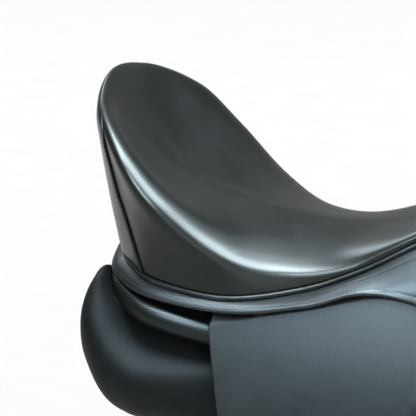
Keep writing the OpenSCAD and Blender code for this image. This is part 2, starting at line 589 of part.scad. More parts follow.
// Round-headed nails at the front of the skirts
nail_u = 0.87;
nail_v = 0.16;
nail_r = 5;
function band_normal(u, v) = unit(band_at(u, v, 0) - band_at(u, v, 1));
module saddle_nail(side) color(steel) on_side(side) {
    n = band_normal(nail_u, nail_v);
    translate(band_at(nail_u, nail_v, 0)) rotate([0, acos(n.z), atan2(n.y, n.x)]) {
        intersection() {
            translate([0, 0, -2 * nail_r + 3]) sphere(r = 2 * nail_r, $fn = 48);
            translate([0, 0, 0.4]) cylinder(r = nail_r, h = 4, $fn = 48);
        }
        translate([0, 0, -skirt_t]) cylinder(r = 1.2, h = skirt_t + 1, $fn = 24);
    }
}

// The lining of the gullet joins the panels over the spine, and screws hold them to the tree

lining_t = 2.5;
function lining_row(x, drop) =
    let (p = closed_curve(panel_rows(x), 0.95), h = p.x - 0.45)
    [for (f = [-1, -0.6, -0.2, 0.2, 0.6, 1]) [x, f * h, p.y + 8 * (1 - f * f) - drop]];
module gullet_lining() color(leather) sheet([for (f = steps(14)) lining_row(lerp(-165, 150, f), 0)],
    [for (f = steps(14)) lining_row(lerp(-165, 150, f), lining_t)]);
screws = [[-120, 60, 55, 36], [100, 48, 52, 41]];
module panel_screws() color(steel) for (s = screws, y = [-1, 1]) translate([s[0], y * s[1], s[2]])
    cylinder(r = 3, h = s[3], $fn = 32);

seat_cover();
cantle_back();
seat_welt();
seat_foam();
seat_web("left");  // seat_web_left
seat_web("right");  // seat_web_right
girth_web(0);  // girth_web_front
girth_web(1);  // girth_web_rear
tree();
gullet_plate();
head_rivets();
head_lining();
skirt("left");  // skirt_left
skirt("right");  // skirt_right
front_facing();
saddle_nail("left");  // saddle_nail_left
saddle_nail("right");  // saddle_nail_right
rear_facing();
panel("left");  // panel_left
panel("right");  // panel_right
gullet_lining();
panel_screws();
point_pocket("left");  // point_pocket_left
point_pocket("right");  // point_pocket_right
flap_head("left");  // flap_head_left
flap_head("right");  // flap_head_right
flap("left");  // flap_left
flap("right");  // flap_right
sweat_flap("left");  // sweat_flap_left
sweat_flap("right");  // sweat_flap_right
knee_block("left");  // knee_block_left
knee_block("right");  // knee_block_right
girth_strap(0, "left");  // girth_strap_front_left
girth_strap(0, "right");  // girth_strap_front_right
girth_strap(1, "left");  // girth_strap_rear_left
girth_strap(1, "right");  // girth_strap_rear_right
stirrup_bar("left");  // stirrup_bar_left
stirrup_bar("right");  // stirrup_bar_right
bar_rivets("left");  // bar_rivets_left
bar_rivets("right");  // bar_rivets_right
safety_catch("left");  // safety_catch_left
safety_catch("right");  // safety_catch_right
dee_staple("left");  // dee_staple_left
dee_staple("right");  // dee_staple_right
dee_ring("left");  // dee_ring_left
dee_ring("right");  // dee_ring_right
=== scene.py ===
import math
from functools import lru_cache

import bmesh
import bpy
import numpy as np
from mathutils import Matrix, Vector


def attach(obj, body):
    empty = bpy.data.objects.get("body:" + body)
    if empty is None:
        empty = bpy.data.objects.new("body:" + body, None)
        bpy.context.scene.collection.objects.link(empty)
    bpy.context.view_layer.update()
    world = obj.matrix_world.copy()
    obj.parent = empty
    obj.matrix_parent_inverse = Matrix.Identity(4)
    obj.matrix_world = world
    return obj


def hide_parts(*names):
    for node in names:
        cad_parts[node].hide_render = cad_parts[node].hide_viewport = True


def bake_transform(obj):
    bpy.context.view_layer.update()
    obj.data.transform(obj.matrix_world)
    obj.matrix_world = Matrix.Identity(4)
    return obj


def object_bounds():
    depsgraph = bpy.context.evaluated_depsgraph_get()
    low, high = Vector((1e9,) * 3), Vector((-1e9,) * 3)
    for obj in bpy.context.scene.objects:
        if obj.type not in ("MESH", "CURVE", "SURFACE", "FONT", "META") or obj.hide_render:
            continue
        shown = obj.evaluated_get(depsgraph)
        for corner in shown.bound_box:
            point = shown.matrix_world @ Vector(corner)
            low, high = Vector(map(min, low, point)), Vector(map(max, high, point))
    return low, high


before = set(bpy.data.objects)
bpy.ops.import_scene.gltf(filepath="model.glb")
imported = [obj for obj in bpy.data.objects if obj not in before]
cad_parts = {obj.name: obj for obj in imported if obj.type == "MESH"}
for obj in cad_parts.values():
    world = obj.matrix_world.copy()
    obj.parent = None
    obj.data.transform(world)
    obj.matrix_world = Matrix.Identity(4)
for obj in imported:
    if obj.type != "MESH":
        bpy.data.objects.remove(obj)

bl_info = {
    "name": "Dressage saddle",
    "version": (1, 0, 0),
    "blender": (4, 5, 0),
    "location": "View3D > Sidebar > Saddle",
    "description": "Dresses the frame of a dressage saddle in leather, thread and steel",
    "category": "Object",
}

CAD_BOX = [list(corner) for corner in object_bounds()]
MM = 0.001
SIDES = (("left", 1), ("right", -1))
# Lines to sew, for each body
SEAMS = {"saddle": []}

# Curves, in millimetres


def point(*values):
    return np.array(values, float)


def unit(v):
    return v / np.linalg.norm(v)


def lerp(a, b, f):
    return a + (b - a) * f


def mirrored(p, side):
    """The off side has negative Y."""
    return point(p[0], -side * p[1], p[2])


def catmull(p0, p1, p2, p3, f):
    return 0.5 * (2 * p1 + (p2 - p0) * f + (2 * p0 - 5 * p1 + 4 * p2 - p3) * f * f
                  + (3 * p1 - p0 - 3 * p2 + p3) * f ** 3)


def bezier(a, b, c, d, f):
    g = 1 - f
    return a * g ** 3 + 3 * b * f * g * g + 3 * c * f * f * g + d * f ** 3


def curve(rows, u):
    """A smooth open curve through the rows, for u from 0 to 1."""
    n = len(rows) - 1
    s = min(max(u, 0), 1) * n
    i = min(int(s), n - 1)
    return catmull(rows[max(i - 1, 0)], rows[i], rows[i + 1], rows[min(i + 2, n)], s - i)


def closed_curve(rows, u):
    n = len(rows)
    s = (u % 1) * n
    i = int(s)
    return catmull(rows[(i - 1) % n], rows[i % n], rows[(i + 1) % n], rows[(i + 2) % n], s - i)


def half_loop(rows, u):
    """A loop that is the same on both sides. u runs from -1 to 1 and is positive on the off side."""
    n = len(rows) - 1
    s = min(abs(u), 1) * n
    i = min(int(s), n - 1)
    flip = point(1, -1, 1)
    before = rows[1] * flip if i == 0 else rows[i - 1]
    after = rows[n - 1] * flip if i + 2 > n else rows[i + 2]
    p = catmull(before, rows[i], rows[i + 1], after, s - i)
    return point(p[0], p[1] if u < 0 else -p[1], p[2])


# Seat form, the same rows as the frame's

CANTLE_X, CANTLE_RISE = 222, 124
SEAT_HW, WAIST_HW = 128, 83
POMMEL_X, POMMEL_RISE = 225, 72
SEAT_Z, WELT_Z = 107, 57
EDGE_ROLL, BACK_BULGE = 16, 26
SPINE_SHARE, DISH_POWER = 0.65, 1.7
WELT_D, GAP = 4.4, 0.3

EDGE_ROWS = [point(*row) for row in (
    (-CANTLE_X, 0, SEAT_Z + CANTLE_RISE),
    (-0.955 * CANTLE_X, 0.54 * SEAT_HW, SEAT_Z + 0.88 * CANTLE_RISE),
    (-0.8 * CANTLE_X, 0.91 * SEAT_HW, SEAT_Z + 0.61 * CANTLE_RISE),
    (-0.635 * CANTLE_X, SEAT_HW, SEAT_Z + 0.3 * CANTLE_RISE),
    (-0.42 * CANTLE_X, 0.9 * SEAT_HW, SEAT_Z),
    (-0.205 * CANTLE_X, 1.15 * WAIST_HW, SEAT_Z - 19),
    (0.045 * POMMEL_X, WAIST_HW, SEAT_Z - 18),
    (0.325 * POMMEL_X, 0.95 * WAIST_HW, SEAT_Z + 0.08 * POMMEL_RISE),
    (0.62 * POMMEL_X, 0.84 * WAIST_HW, SEAT_Z + 0.57 * POMMEL_RISE),
    (0.89 * POMMEL_X, 0.54 * WAIST_HW, SEAT_Z + 0.9 * POMMEL_RISE),
    (POMMEL_X, 0, SEAT_Z + POMMEL_RISE))]
WELT_ROWS = [point(*row) for row in (
    (-0.914 * CANTLE_X, 0, WELT_Z + 27),
    (-0.881 * CANTLE_X, 0.46 * SEAT_HW, WELT_Z + 23),
    (-0.802 * CANTLE_X, 0.72 * SEAT_HW, WELT_Z + 17),
    (-0.657 * CANTLE_X, 0.92 * SEAT_HW, WELT_Z + 8),
    (-0.36 * CANTLE_X, 0.965 * SEAT_HW, WELT_Z),
    (-0.068 * CANTLE_X, 1.27 * WAIST_HW, WELT_Z + 8),
    (0.17 * POMMEL_X, 1.14 * WAIST_HW, WELT_Z + 27),
    (0.4 * POMMEL_X, 1.05 * WAIST_HW, WELT_Z + 54),
    (0.667 * POMMEL_X, 0.88 * WAIST_HW, WELT_Z + 82),
    (0.92 * POMMEL_X, 0.54 * WAIST_HW, WELT_Z + 101),
    (1.02 * POMMEL_X, 0, WELT_Z + 107))]
SKIRT_SPREAD = ((-9, 0, -16), (-8.5, 4, -15), (-11, 4, -14), (-6, 8, -12), (1, 8, -12), (9, 22, -10),
                (7, 26, -15), (4, 34, -46), (2, 57, -90), (-4, 43, -53), (-7, 0, -52))
SKIRT_ROWS = [row + point(*spread) for row, spread in zip(WELT_ROWS, SKIRT_SPREAD)]
FACING_SPREAD = ((-3, 0, -30.6), (-2, 4, -30.1), (-5, 5, -29.1), (-1, 8, -32), (12, -9, -42), (10, -28, -55))
FACING_ROWS = [row + point(*spread) for row, spread in zip(WELT_ROWS, FACING_SPREAD)]


def spine_z(x):
    if x < 0:
        return SEAT_Z + 0.22 * CANTLE_RISE * (-x / (SPINE_SHARE * CANTLE_X)) ** 2.2
    return SEAT_Z + 0.42 * POMMEL_RISE * (x / (SPINE_SHARE * POMMEL_X)) ** 1.8


def rim(u):
    return (1 - min(abs(u), 0.5) / 0.5) ** 2


def steepness(u):
    return 1.1 + 0.9 * rim(u) + 0.5 * (max(abs(u) - 0.6, 0) / 0.4) ** 2


@lru_cache(maxsize=None)
def foot_at(u, depth):
    x = SPINE_SHARE * half_loop(EDGE_ROWS, u)[0]
    return point(x, 0, spine_z(x) - depth)


@lru_cache(maxsize=None)
def outward_at(u):
    e = half_loop(EDGE_ROWS, u)
    return unit(point((1 - SPINE_SHARE) * e[0], e[1], 0))


@lru_cache(maxsize=None)
def edge_at(u, depth):
    skin = min(depth, 4)
    drop = point(0, 0, depth * steepness(u) + 1.6 * skin * rim(u))
    return half_loop(EDGE_ROWS, u) - drop - skin * (0.25 + 0.5 * rim(u)) * outward_at(u)


@lru_cache(maxsize=None)
def welt_at(u, depth=0):
    return half_loop(WELT_ROWS, u) - depth * outward_at(u)


@lru_cache(maxsize=None)
def dish_slope(u):
    ox = outward_at(u)[0]
    return (0.33 if ox < 0 else 0.7) * ox * ox


def top_at(u, r, depth=0):
    """A point on the top of the seat, r from 0 at the spine to 1 at the edge."""
    e, f, a = edge_at(u, depth), foot_at(u, depth), dish_slope(u)
    dish = a * r + (1 - a) * r ** DISH_POWER
    return point(lerp(f[0], e[0], r), lerp(f[1], e[1], r), lerp(f[2], e[2], dish))


def side_at(u, s, depth=0):
    """A point on the side of the seat, s from 0 at the edge to 1 at the welt."""
    e, w, f, a = edge_at(u, depth), welt_at(u, depth), foot_at(u, depth), dish_slope(u)
    rise = unit(point(e[0] - f[0], e[1] - f[1], (a + (1 - a) * DISH_POWER) * (e[2] - f[2])))
    low = w + point(0, 0, 0.45 * (e[2] - w[2])) + outward_at(u) * BACK_BULGE * rim(u)
    return bezier(e, e + rise * (EDGE_ROLL - depth), low, w, s)


def below_welt(u, drop):
    return welt_at(u) - point(0, 0, drop)


@lru_cache(maxsize=None)
def band_line(u):
    """The top and the lower edge of the skirt, how far it bows, and the way it faces."""
    top, low, o = below_welt(u, WELT_D + 3 * GAP), half_loop(SKIRT_ROWS, u), outward_at(u)
    run = low - top
    face = unit(point(o[0] * -run[2], o[1] * -run[2], math.hypot(run[0], run[1])))
    return top, low, o * 0.12 * np.linalg.norm(run), face


def band_at(u, v, depth=0):
    """The skirt hangs from the welt; v runs from its top to its lower edge."""
    top, low, bow, face = band_line(u)
    return lerp(top, low, v) + bow * math.sin(math.pi * v) - face * depth


def band_length(u):
    top, low = band_line(u)[:2]
    return np.linalg.norm(low - top)


WELT_DROP = WELT_D / 2 + 2 * GAP


def welt_centre(u):
    return below_welt(u, WELT_DROP) - 0.1 * WELT_D * outward_at(u)


# Panels and flaps, the same sections as the frame's

PANEL_BACK, PANEL_FRONT = 220, 205
PANEL_MID, PANEL_HALF = (PANEL_FRONT - PANEL_BACK) / 2, (PANEL_FRONT + PANEL_BACK) / 2 + 1
PANEL_X = (-210, -203.5, -194, -180, -160, -80, -20, 100, 190)
PANEL_SECTIONS = [[point(*p) for p in row] for row in (
    ((54, 71), (78, 68), (106, 59), (137, 30), (134, -14), (110, -32), (74, -20), (46, 4)),
    ((48, 31), (74, 36), (100, 57), (140, 20), (137, -24), (110, -42), (73, -25), (41, 0)),
    ((40, 37), (72, 33), (112, 36), (143, 4), (140, -35), (110, -53), (72, -31), (36, -4)),
    ((38, 46), (70, 41), (98, 28.5), (146, -4), (141, -40), (111, -60), (71, -35), (34, -4)),
    ((36, 68), (72, 64), (106, 20), (149, -15), (143, -46), (112, -66), (70, -39), (32, -4)),
    ((32, 50), (66, 48), (101, 8), (130, -16), (132, -52), (108, -66), (68, -34), (32, -2)),
    ((32, 46), (70, 46), (110, 26), (122, -4), (124, -38), (104, -52), (68, -30), (32, -2)),
    ((34, 60), (66, 62), (100, 40), (118, 4), (118, -40), (104, -58), (74, -16), (38, 12)),
    ((42, 58), (58, 56), (78, 36), (100, 2), (108, -44), (98, -62), (80, -20), (54, 28)))]
FLAP_Y, FLAP_T, SWEAT_T = 170, 5, 3.5
FLARE, FLARE_POWER, FLARE_LOW, FLARE_HIGH = 84, 2.2, -160, 100
FLAP_BEND_Z, FLAP_DROP, FLAP_TOE = 26, 320, -170
FLAP_CORNER, FLAP_SLOPE = (-92, 30), 0.24
# Below its turn the back edge of a flap runs more upright; the front edge and the top are bowed
BACK_TURN_Z, BACK_TURN, BACK_LOW_SLOPE = -50, 20.2, 0.12
AHEAD_X, AHEAD_Z, AHEAD_BOW = 206, -60, 0.0006
HEAD_TOP, HEAD_X, HEAD_BOW = 72, 165, 0.02
# Where along its width a leaf draws in to its toe, how late and how round, and how much more its back is inset
TOE_SHARE, TOE_DRAW, TOE_ROUND, BACK_INSET = 0.55, 3, 2.2, 2.2
ROWS_CLOSER = 1.35
KNEE_X, KNEE_Z, KNEE_RX, KNEE_RZ, KNEE_BULGE = 150, -95, 58, 115, 24
STRAP_ROOM, STRAP_T, STRAP_W = 2.8, 4, 26
STRAP_TOP, STRAP_DROP, STRAP_TIP = 46, 460, 22
STRAP_HOLES, STRAP_PITCH, STRAP_HOLE_R = 8, 25, 2.5
STRAP_X = {"front": 50, "rear": -30}
LAYER_IN = STRAP_T + 2 * STRAP_ROOM
SWEAT_TOP, SWEAT_LOW, SWEAT_INSET = 42, FLAP_DROP - 26, 16
FLAP_END, SWEAT_END = -FLAP_DROP - 0.5, -SWEAT_LOW - 0.5
TREE_DEPTH, TREE_R = 34.6, 0.84
TREE_MIDDLE_X, TREE_RUN = -43, 520


@lru_cache(maxsize=None)
def panel_rows(x):
    """The section of the panel at x: its eight rows, their middle, and how far the end draws it in."""
    station = np.interp(x, PANEL_X, np.linspace(0, 1, len(PANEL_X)))
    rows = [curve([s[j] for s in PANEL_SECTIONS], station) for j in range(8)]
    end = min(abs(x - PANEL_MID) / PANEL_HALF, 1)
    return rows, sum(rows) / 8, (1 - end ** (15 if x < PANEL_MID else 10)) ** (1 / 2.6)


def panel_section(x, f):
    """A point round the panel at x, as its distance from the middle plane and its height."""
    rows, middle, scale = panel_rows(x)
    return middle + (closed_curve(rows, f) - middle) * scale


def hang_y(z):
    """How far out the flap hangs at a height."""
    return FLAP_Y - FLARE * (max(z - FLARE_LOW, 0) / (FLARE_HIGH - FLARE_LOW)) ** FLARE_POWER


def bulge(x, z):
    return KNEE_BULGE * max(1 - ((x - KNEE_X) / KNEE_RX) ** 2 - ((z - KNEE_Z) / KNEE_RZ) ** 2, 0) ** 1.3


def flap_back(z):
    if z > BACK_TURN_Z:
        return FLAP_CORNER[0] + FLAP_SLOPE * (FLAP_CORNER[1] - z)
    return FLAP_CORNER[0] + (BACK_TURN + BACK_LOW_SLOPE * (BACK_TURN_Z - z))


def flap_ahead(z):
    return AHEAD_X - AHEAD_BOW * (z - AHEAD_Z) ** 2


def flap_top(x):
    return min(FLAP_CORNER[1] + FLAP_SLOPE * (x - FLAP_CORNER[0]), HEAD_TOP - HEAD_BOW * max(x - HEAD_X, 0) ** 2)


def leaf_x(z, f, low, inset):
    """Across a flap from back to front. The lower end draws in to a round toe."""
    a, b = flap_back(z) + BACK_INSET * inset, flap_ahead(z) - inset
    m = lerp(a, b, TOE_SHARE)
    t = (1 - min(max((FLAP_TOE - z) / (FLAP_TOE - low), 0), 0.995) ** TOE_DRAW) ** (1 / TOE_ROUND)
    return lerp(lerp(m, a, t), lerp(m, b, t), f)


def leaf_rows(top, low, n):
    """Heights down a leaf, closer together towards its toe."""
    return [lerp(top, low, 1 - (1 - k / n) ** ROWS_CLOSER) for k in range(n + 1)]


def flap_point(x, z, depth):
    return point(x, -(hang_y(z) + bulge(x, z) + FLAP_T - depth), z)


def tree_edge(x):
    u = 0.5 + (x - TREE_MIDDLE_X) / TREE_RUN
    return top_at(u, TREE_R, TREE_DEPTH) + 2 * GAP * outward_at(u)


# Meshes

# Distances in metres under which points are welded and slivers closed
WELD, SLIVER = 0.00004, 0.00002
# Turn of the surface in each metre, on what counts as flat and on a cut edge
EDGE_FLAT, EDGE_SHARP = 120, 350


def in_scene(name, data):
    """A new object in the scene."""
    thing = bpy.data.objects.new(name, data)
    bpy.context.scene.collection.objects.link(thing)
    return thing


def new_piece(name, points, faces, material):
    """A smooth mesh from points in millimetres, welded, with its faces turned outwards."""
    mesh = bpy.data.meshes.new(name)
    mesh.from_pydata([tuple(p * MM) for p in points], [], faces)
    bm = bmesh.new()
    bm.from_mesh(mesh)
    bmesh.ops.remove_doubles(bm, verts=bm.verts, dist=WELD)
    bmesh.ops.dissolve_degenerate(bm, edges=bm.edges, dist=SLIVER)
    bmesh.ops.recalc_face_normals(bm, faces=bm.faces)
    bm.to_mesh(mesh)
    bm.free()
    mesh.polygons.foreach_set("use_smooth", [True] * len(mesh.polygons))
    mesh.materials.append(material)
    return in_scene(name, mesh)


def grid_faces(rows, cols, closed=False, start=0):
    faces = []
    for i in range(rows - 1):
        for j in range(cols if closed else cols - 1):
            k = (j + 1) % cols
            faces.append((start + i * cols + j, start + i * cols + k,
                          start + (i + 1) * cols + k, start + (i + 1) * cols + j))
    return faces


def rounded_leaf(outer, inner, bead=5):
    """Points and faces of a thick leaf between two grids of points, with a half-round edge all round."""
    rows, cols = len(outer), len(outer[0])
    points = [p for row in outer for p in row] + [p for row in inner for p in row]
    half = rows * cols
    faces = grid_faces(rows, cols) + grid_faces(rows, cols, start=half)
    border = ([(0, j) for j in range(cols)] + [(i, cols - 1) for i in range(1, rows)]
              + [(rows - 1, j) for j in range(cols - 2, -1, -1)] + [(i, 0) for i in range(rows - 2, 0, -1)])
    rings = [[i * cols + j for i, j in border]]
    for k in range(1, bead):
        angle = math.pi * k / bead
        ring = []
        for i, j in border:
            a, b = outer[i][j], inner[i][j]
            inward = outer[min(max(i, 1), rows - 2)][min(max(j, 1), cols - 2)] - a
            thick = (a - b) / 2
            out = -(inward - thick * (inward @ thick) / max(thick @ thick, 1e-9))
            out = out / max(np.linalg.norm(out), 1e-9) * np.linalg.norm(thick) * 0.8
            ring.append(len(points))
            points.append((a + b) / 2 + thick * math.cos(angle) + out * math.sin(angle))
        rings.append(ring)
    rings.append([half + i * cols + j for i, j in border])
    for a, b in zip(rings, rings[1:]):
        for j in range(len(a)):
            k = (j + 1) % len(a)
            faces.append((a[j], a[k], b[k], b[j]))
    return points, faces


def tube(path, across, up, rx, ry, sides, closed=False):
    """Points and faces of a tube along a path, with its own two directions at each point."""
    points = []
    for centre, a, b in zip(path, across, up):
        for i in range(sides):
            angle = 2 * math.pi * i / sides
            points.append(centre + a * rx * math.cos(angle) + b * ry * math.sin(angle))
    rows = len(path)
    faces = grid_faces(rows, sides, closed=True)
    if closed:
        last = (rows - 1) * sides
        faces += [(last + j, last + (j + 1) % sides, (j + 1) % sides, j) for j in range(sides)]
    else:
        faces += [tuple(range(sides)), tuple((rows - 1) * sides + j for j in range(sides))]
    return points, faces


def applied(piece):
    """The piece with its modifiers made part of its mesh."""
    graph = bpy.context.evaluated_depsgraph_get()
    mesh = bpy.data.meshes.new_from_object(piece.evaluated_get(graph))
    piece.modifiers.clear()
    old, piece.data = piece.data, mesh
    name = old.name
    bpy.data.meshes.remove(old)
    mesh.name = name
    return piece


def bevelled(piece, width):
    bevel = piece.modifiers.new("round edges", "BEVEL")
    bevel.width, bevel.segments, bevel.limit_method = width * MM, 3, "ANGLE"
    bevel.angle_limit = math.radians(40)
    return applied(piece)


def mark_edges(piece):
    """Writes how tightly the surface turns at each point, from 0 on the flat to 1 on a cut edge."""
    mesh = piece.data
    count, pairs = len(mesh.vertices), np.zeros(2 * len(mesh.edges), int)
    places, normals, turn = np.zeros(3 * count), np.zeros(3 * count), np.zeros(count)
    mesh.vertices.foreach_get("co", places)
    mesh.vertex_normals.foreach_get("vector", normals)
    mesh.edges.foreach_get("vertices", pairs)
    a, b = pairs[0::2], pairs[1::2]
    places, normals = places.reshape(-1, 3), normals.reshape(-1, 3)
    bend = (np.linalg.norm(normals[a] - normals[b], axis=1)
            / np.maximum(np.linalg.norm(places[a] - places[b], axis=1), 1e-6))
    np.maximum.at(turn, a, bend)
    np.maximum.at(turn, b, bend)
    values = mesh.attributes.new("edge", "FLOAT", "POINT").data
    values.foreach_set("value", np.clip((turn - EDGE_FLAT) / (EDGE_SHARP - EDGE_FLAT), 0, 1))


def dressed(piece, body, slot, *nodes):
    """The piece rides on its body and stands for the nodes; the slot is not used."""
    mark_edges(piece)
    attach(piece, body)
    if nodes:
        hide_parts(*nodes)
    return piece


# Shader groups and materials


def shader_group(name, inputs, outputs):
    """An empty node group with named sockets; each is (name, kind, default)."""
    group = bpy.data.node_groups.new(name, "ShaderNodeTree")
    for label, kind, default in inputs:
        socket = group.interface.new_socket(label, in_out="INPUT", socket_type=kind)
        if default is not None:
            socket.default_value = default
    for label, kind in outputs:
        group.interface.new_socket(label, in_out="OUTPUT", socket_type=kind)
    return group, group.nodes.new("NodeGroupInput").outputs, group.nodes.new("NodeGroupOutput").inputs


def add_node(tree, kind, links=(), **settings):
    """A node with its settings; links are (input name or number, socket or value)."""
    node = tree.nodes.new(kind)
    for key, value in settings.items():
        setattr(node, key, value)
    for where, what in links:
        if isinstance(what, bpy.types.NodeSocket):
            tree.links.new(what, node.inputs[where])
        else:
            node.inputs[where].default_value = what
    return node


def maths(tree, operation, *values):
    return add_node(tree, "ShaderNodeMath", list(enumerate(values)), operation=operation).outputs[0]


def remap(tree, value, low, high, to_low, to_high):
    return add_node(tree, "ShaderNodeMapRange", ((0, value), (1, low), (2, high), (3, to_low), (4, to_high)),
                    clamp=True).outputs[0]


def noise(tree, where, scale, detail, roughness=0.5):
    return add_node(tree, "ShaderNodeTexNoise", (("Vector", where), ("Scale", scale), ("Detail", detail),
                                                 ("Roughness", roughness))).outputs


def bumped(tree, shader, strength, depth, height):
    """Relief in the light, its depth in millimetres."""
    bump = add_node(tree, "ShaderNodeBump", (("Strength", strength), ("Distance", depth * MM), ("Height", height)))
    tree.links.new(bump.outputs["Normal"], shader.inputs["Normal"])


def leather_grain():
    """Pebbled grain: cells with soft furrows between them, fine pores, and slow mottling."""
    group, into, out = shader_group(
        "Leather grain",
        (("Vector", "NodeSocketVector", None), ("Cells", "NodeSocketFloat", 900.0),
         ("Furrow", "NodeSocketFloat", 0.5)),
        (("Height", "NodeSocketFloat"), ("Mottle", "NodeSocketFloat"), ("Scuff", "NodeSocketFloat")))
    place = into["Vector"]
    sway = noise(group, place, 160.0, 2.0)["Color"]
    shift = add_node(group, "ShaderNodeVectorMath", ((0, sway), ("Scale", 0.0016)), operation="SCALE")
    where = add_node(group, "ShaderNodeVectorMath", ((0, place), (1, shift.outputs[0])))
    cells = add_node(group, "ShaderNodeTexVoronoi", (("Vector", where.outputs[0]), ("Scale", into["Cells"])),
                     feature="DISTANCE_TO_EDGE")
    pillow = remap(group, cells.outputs["Distance"], 0.0, 0.3, 0.0, 1.0)
    furrows = maths(group, "MULTIPLY", pillow, into["Furrow"])
    pores = maths(group, "MULTIPLY", noise(group, place, 2600.0, 2.0)["Fac"], 0.35)
    group.links.new(maths(group, "ADD", furrows, pores), out["Height"])
    slow = noise(group, place, 22.0, 4.0, 0.6)["Fac"]
    group.links.new(remap(group, slow, 0.3, 0.7, 0.0, 1.0), out["Mottle"])
    scuff = noise(group, place, 75.0, 6.0, 0.7)["Fac"]
    group.links.new(remap(group, scuff, 0.56, 0.72, 0.0, 1.0), out["Scuff"])
    return group


def edge_wear():
    """How rubbed a cut edge is, from the piece's own edge attribute broken up by noise."""
    group, into, out = shader_group(
        "Edge wear",
        (("Vector", "NodeSocketVector", None), ("Edge", "NodeSocketFloat", 0.0)),
        (("Wear", "NodeSocketFloat"),))
    patch = noise(group, into["Vector"], 60.0, 5.0)["Fac"]
    rough = remap(group, patch, 0.35, 0.65, 0.25, 1.0)
    sharp = maths(group, "POWER", into["Edge"], 2.0)
    group.links.new(maths(group, "MULTIPLY", rough, sharp), out["Wear"])
    return group


GROUPS = {}


def placed_group(tree, name, **links):
    """The shared group of that name, built at its first use."""
    makers = {"grain": leather_grain, "wear": edge_wear}
    if name not in GROUPS:
        GROUPS[name] = makers[name]()
    return add_node(tree, "ShaderNodeGroup", links.items(), node_tree=GROUPS[name])


def new_material(name):
    material = bpy.data.materials.new(name)
    material.use_nodes = True
    tree = material.node_tree
    shader = tree.nodes["Principled BSDF"]
    place = tree.nodes.new("ShaderNodeTexCoord").outputs["Object"]
    return material, tree, shader, place


def mixed(tree, factor, a, b):
    """A colour between two, by a mask."""
    return add_node(tree, "ShaderNodeMix", ((0, factor), (6, a), (7, b)), data_type="RGBA").outputs[2]


def shade(colour, by):
    return tuple(min(c * by, 1) for c in colour[:3]) + (1.0,)


def leather(name, colour, rough, sheen, cells, furrow, depth, rubbed=None, shine=0.3):
    """Dyed leather: grain, mottling, scuffs, and paler cut edges where rubbed is given."""
    material, tree, shader, place = new_material(name)
    grain = placed_group(tree, "grain", Vector=place, Cells=cells, Furrow=furrow)
    body = mixed(tree, grain.outputs["Mottle"], shade(colour, 0.8), shade(colour, 1.2))
    roughness = remap(tree, grain.outputs["Mottle"], 0.0, 1.0, rough - 0.02, rough + 0.03)
    roughness = maths(tree, "ADD", roughness, maths(tree, "MULTIPLY", grain.outputs["Scuff"], 0.04))
    if rubbed:
        edge = add_node(tree, "ShaderNodeAttribute", attribute_name="edge").outputs["Fac"]
        wear = placed_group(tree, "wear", Vector=place, Edge=edge).outputs["Wear"]
        body = mixed(tree, wear, body, rubbed)
    tree.links.new(body, shader.inputs["Base Color"])
    tree.links.new(roughness, shader.inputs["Roughness"])
    bumped(tree, shader, 0.5, depth, grain.outputs["Height"])
    shader.inputs["Specular IOR Level"].default_value = shine
    shader.inputs["Specular Tint"].default_value = sheen
    return material


def thread(name, colour):
    """Waxed thread with its twist; its grooves are painted darker as painted shade and its ridges lighter as
    painted highlight.
    """
    material, tree, shader, place = new_material(name)
    twist = add_node(tree, "ShaderNodeTexWave", (("Vector", place), ("Scale", 900.0), ("Distortion", 3.0)),
                     bands_direction="DIAGONAL")
    # Painted shade in the grooves of the twist and painted highlight on its ridges, on the same bands that drive
    # the bump
    tree.links.new(mixed(tree, twist.outputs["Fac"], shade(colour, 0.6), shade(colour, 1.5)),
                   shader.inputs["Base Color"])
    bumped(tree, shader, 0.4, 0.1, twist.outputs["Fac"])
    shader.inputs["Roughness"].default_value = 0.5
    return material


def webbing(name, colour):
    """Woven linen webbing: two crossing sets of yarns, with painted shade between the yarns."""
    material, tree, shader, place = new_material(name)
    warp, weft = (add_node(tree, "ShaderNodeTexWave", (("Vector", place), ("Scale", 190.0), ("Distortion", 0.4)),
                           bands_direction=way).outputs["Fac"] for way in "XY")
    weave = maths(tree, "MAXIMUM", warp, weft)
    # Painted shade: darker between the yarns, where the bump is low
    tree.links.new(mixed(tree, weave, shade(colour, 0.55), colour), shader.inputs["Base Color"])
    bumped(tree, shader, 0.8, 0.4, weave)
    shader.inputs["Roughness"].default_value = 0.85
    return material


def steel(name, colour, rough, streak):
    """Polished or brushed steel with fine streaks and a little handling wear."""
    material, tree, shader, place = new_material(name)
    long_way = add_node(tree, "ShaderNodeMapping", (("Vector", place), ("Scale", (60.0, 900.0, 900.0))))
    streaks = noise(tree, long_way.outputs[0], 1.0, 4.0)["Fac"]
    handled = noise(tree, place, 90.0, 4.0)["Fac"]
    tree.links.new(mixed(tree, handled, shade(colour, 0.86), colour), shader.inputs["Base Color"])
    tree.links.new(remap(tree, streaks, 0.3, 0.7, rough - 0.06, rough + 0.1), shader.inputs["Roughness"])
    bumped(tree, shader, streak, 0.02, streaks)
    shader.inputs["Metallic"].default_value = 1.0
    return material


def moulded(name, colour):
    """Moulded tree plastic: an even spark texture and faint flow marks."""
    material, tree, shader, place = new_material(name)
    flow = noise(tree, place, 14.0, 3.0)["Fac"]
    tree.links.new(mixed(tree, flow, shade(colour, 0.8), shade(colour, 1.25)), shader.inputs["Base Color"])
    bumped(tree, shader, 0.4, 0.1, noise(tree, place, 1500.0, 2.0)["Fac"])
    shader.inputs["Roughness"].default_value = 0.6
    return material


# Sizes, colours and light that can be changed


def colour_value(label, about, default):
    return bpy.props.FloatVectorProperty(name=label, description=about, subtype="COLOR", size=4, min=0, max=1,
                                         default=default)


def length_value(label, about, default):
    return bpy.props.FloatProperty(name=label, description=about, subtype="DISTANCE", unit="LENGTH", min=0,
                                   default=default)


def share_value(label, about, default):
    return bpy.props.FloatProperty(name=label, description=about, subtype="FACTOR", min=0, max=1, default=default)


def power_value(label, about, default):
    return bpy.props.FloatProperty(name=label, description=about, subtype="POWER", unit="POWER", min=0,
                                   default=default)


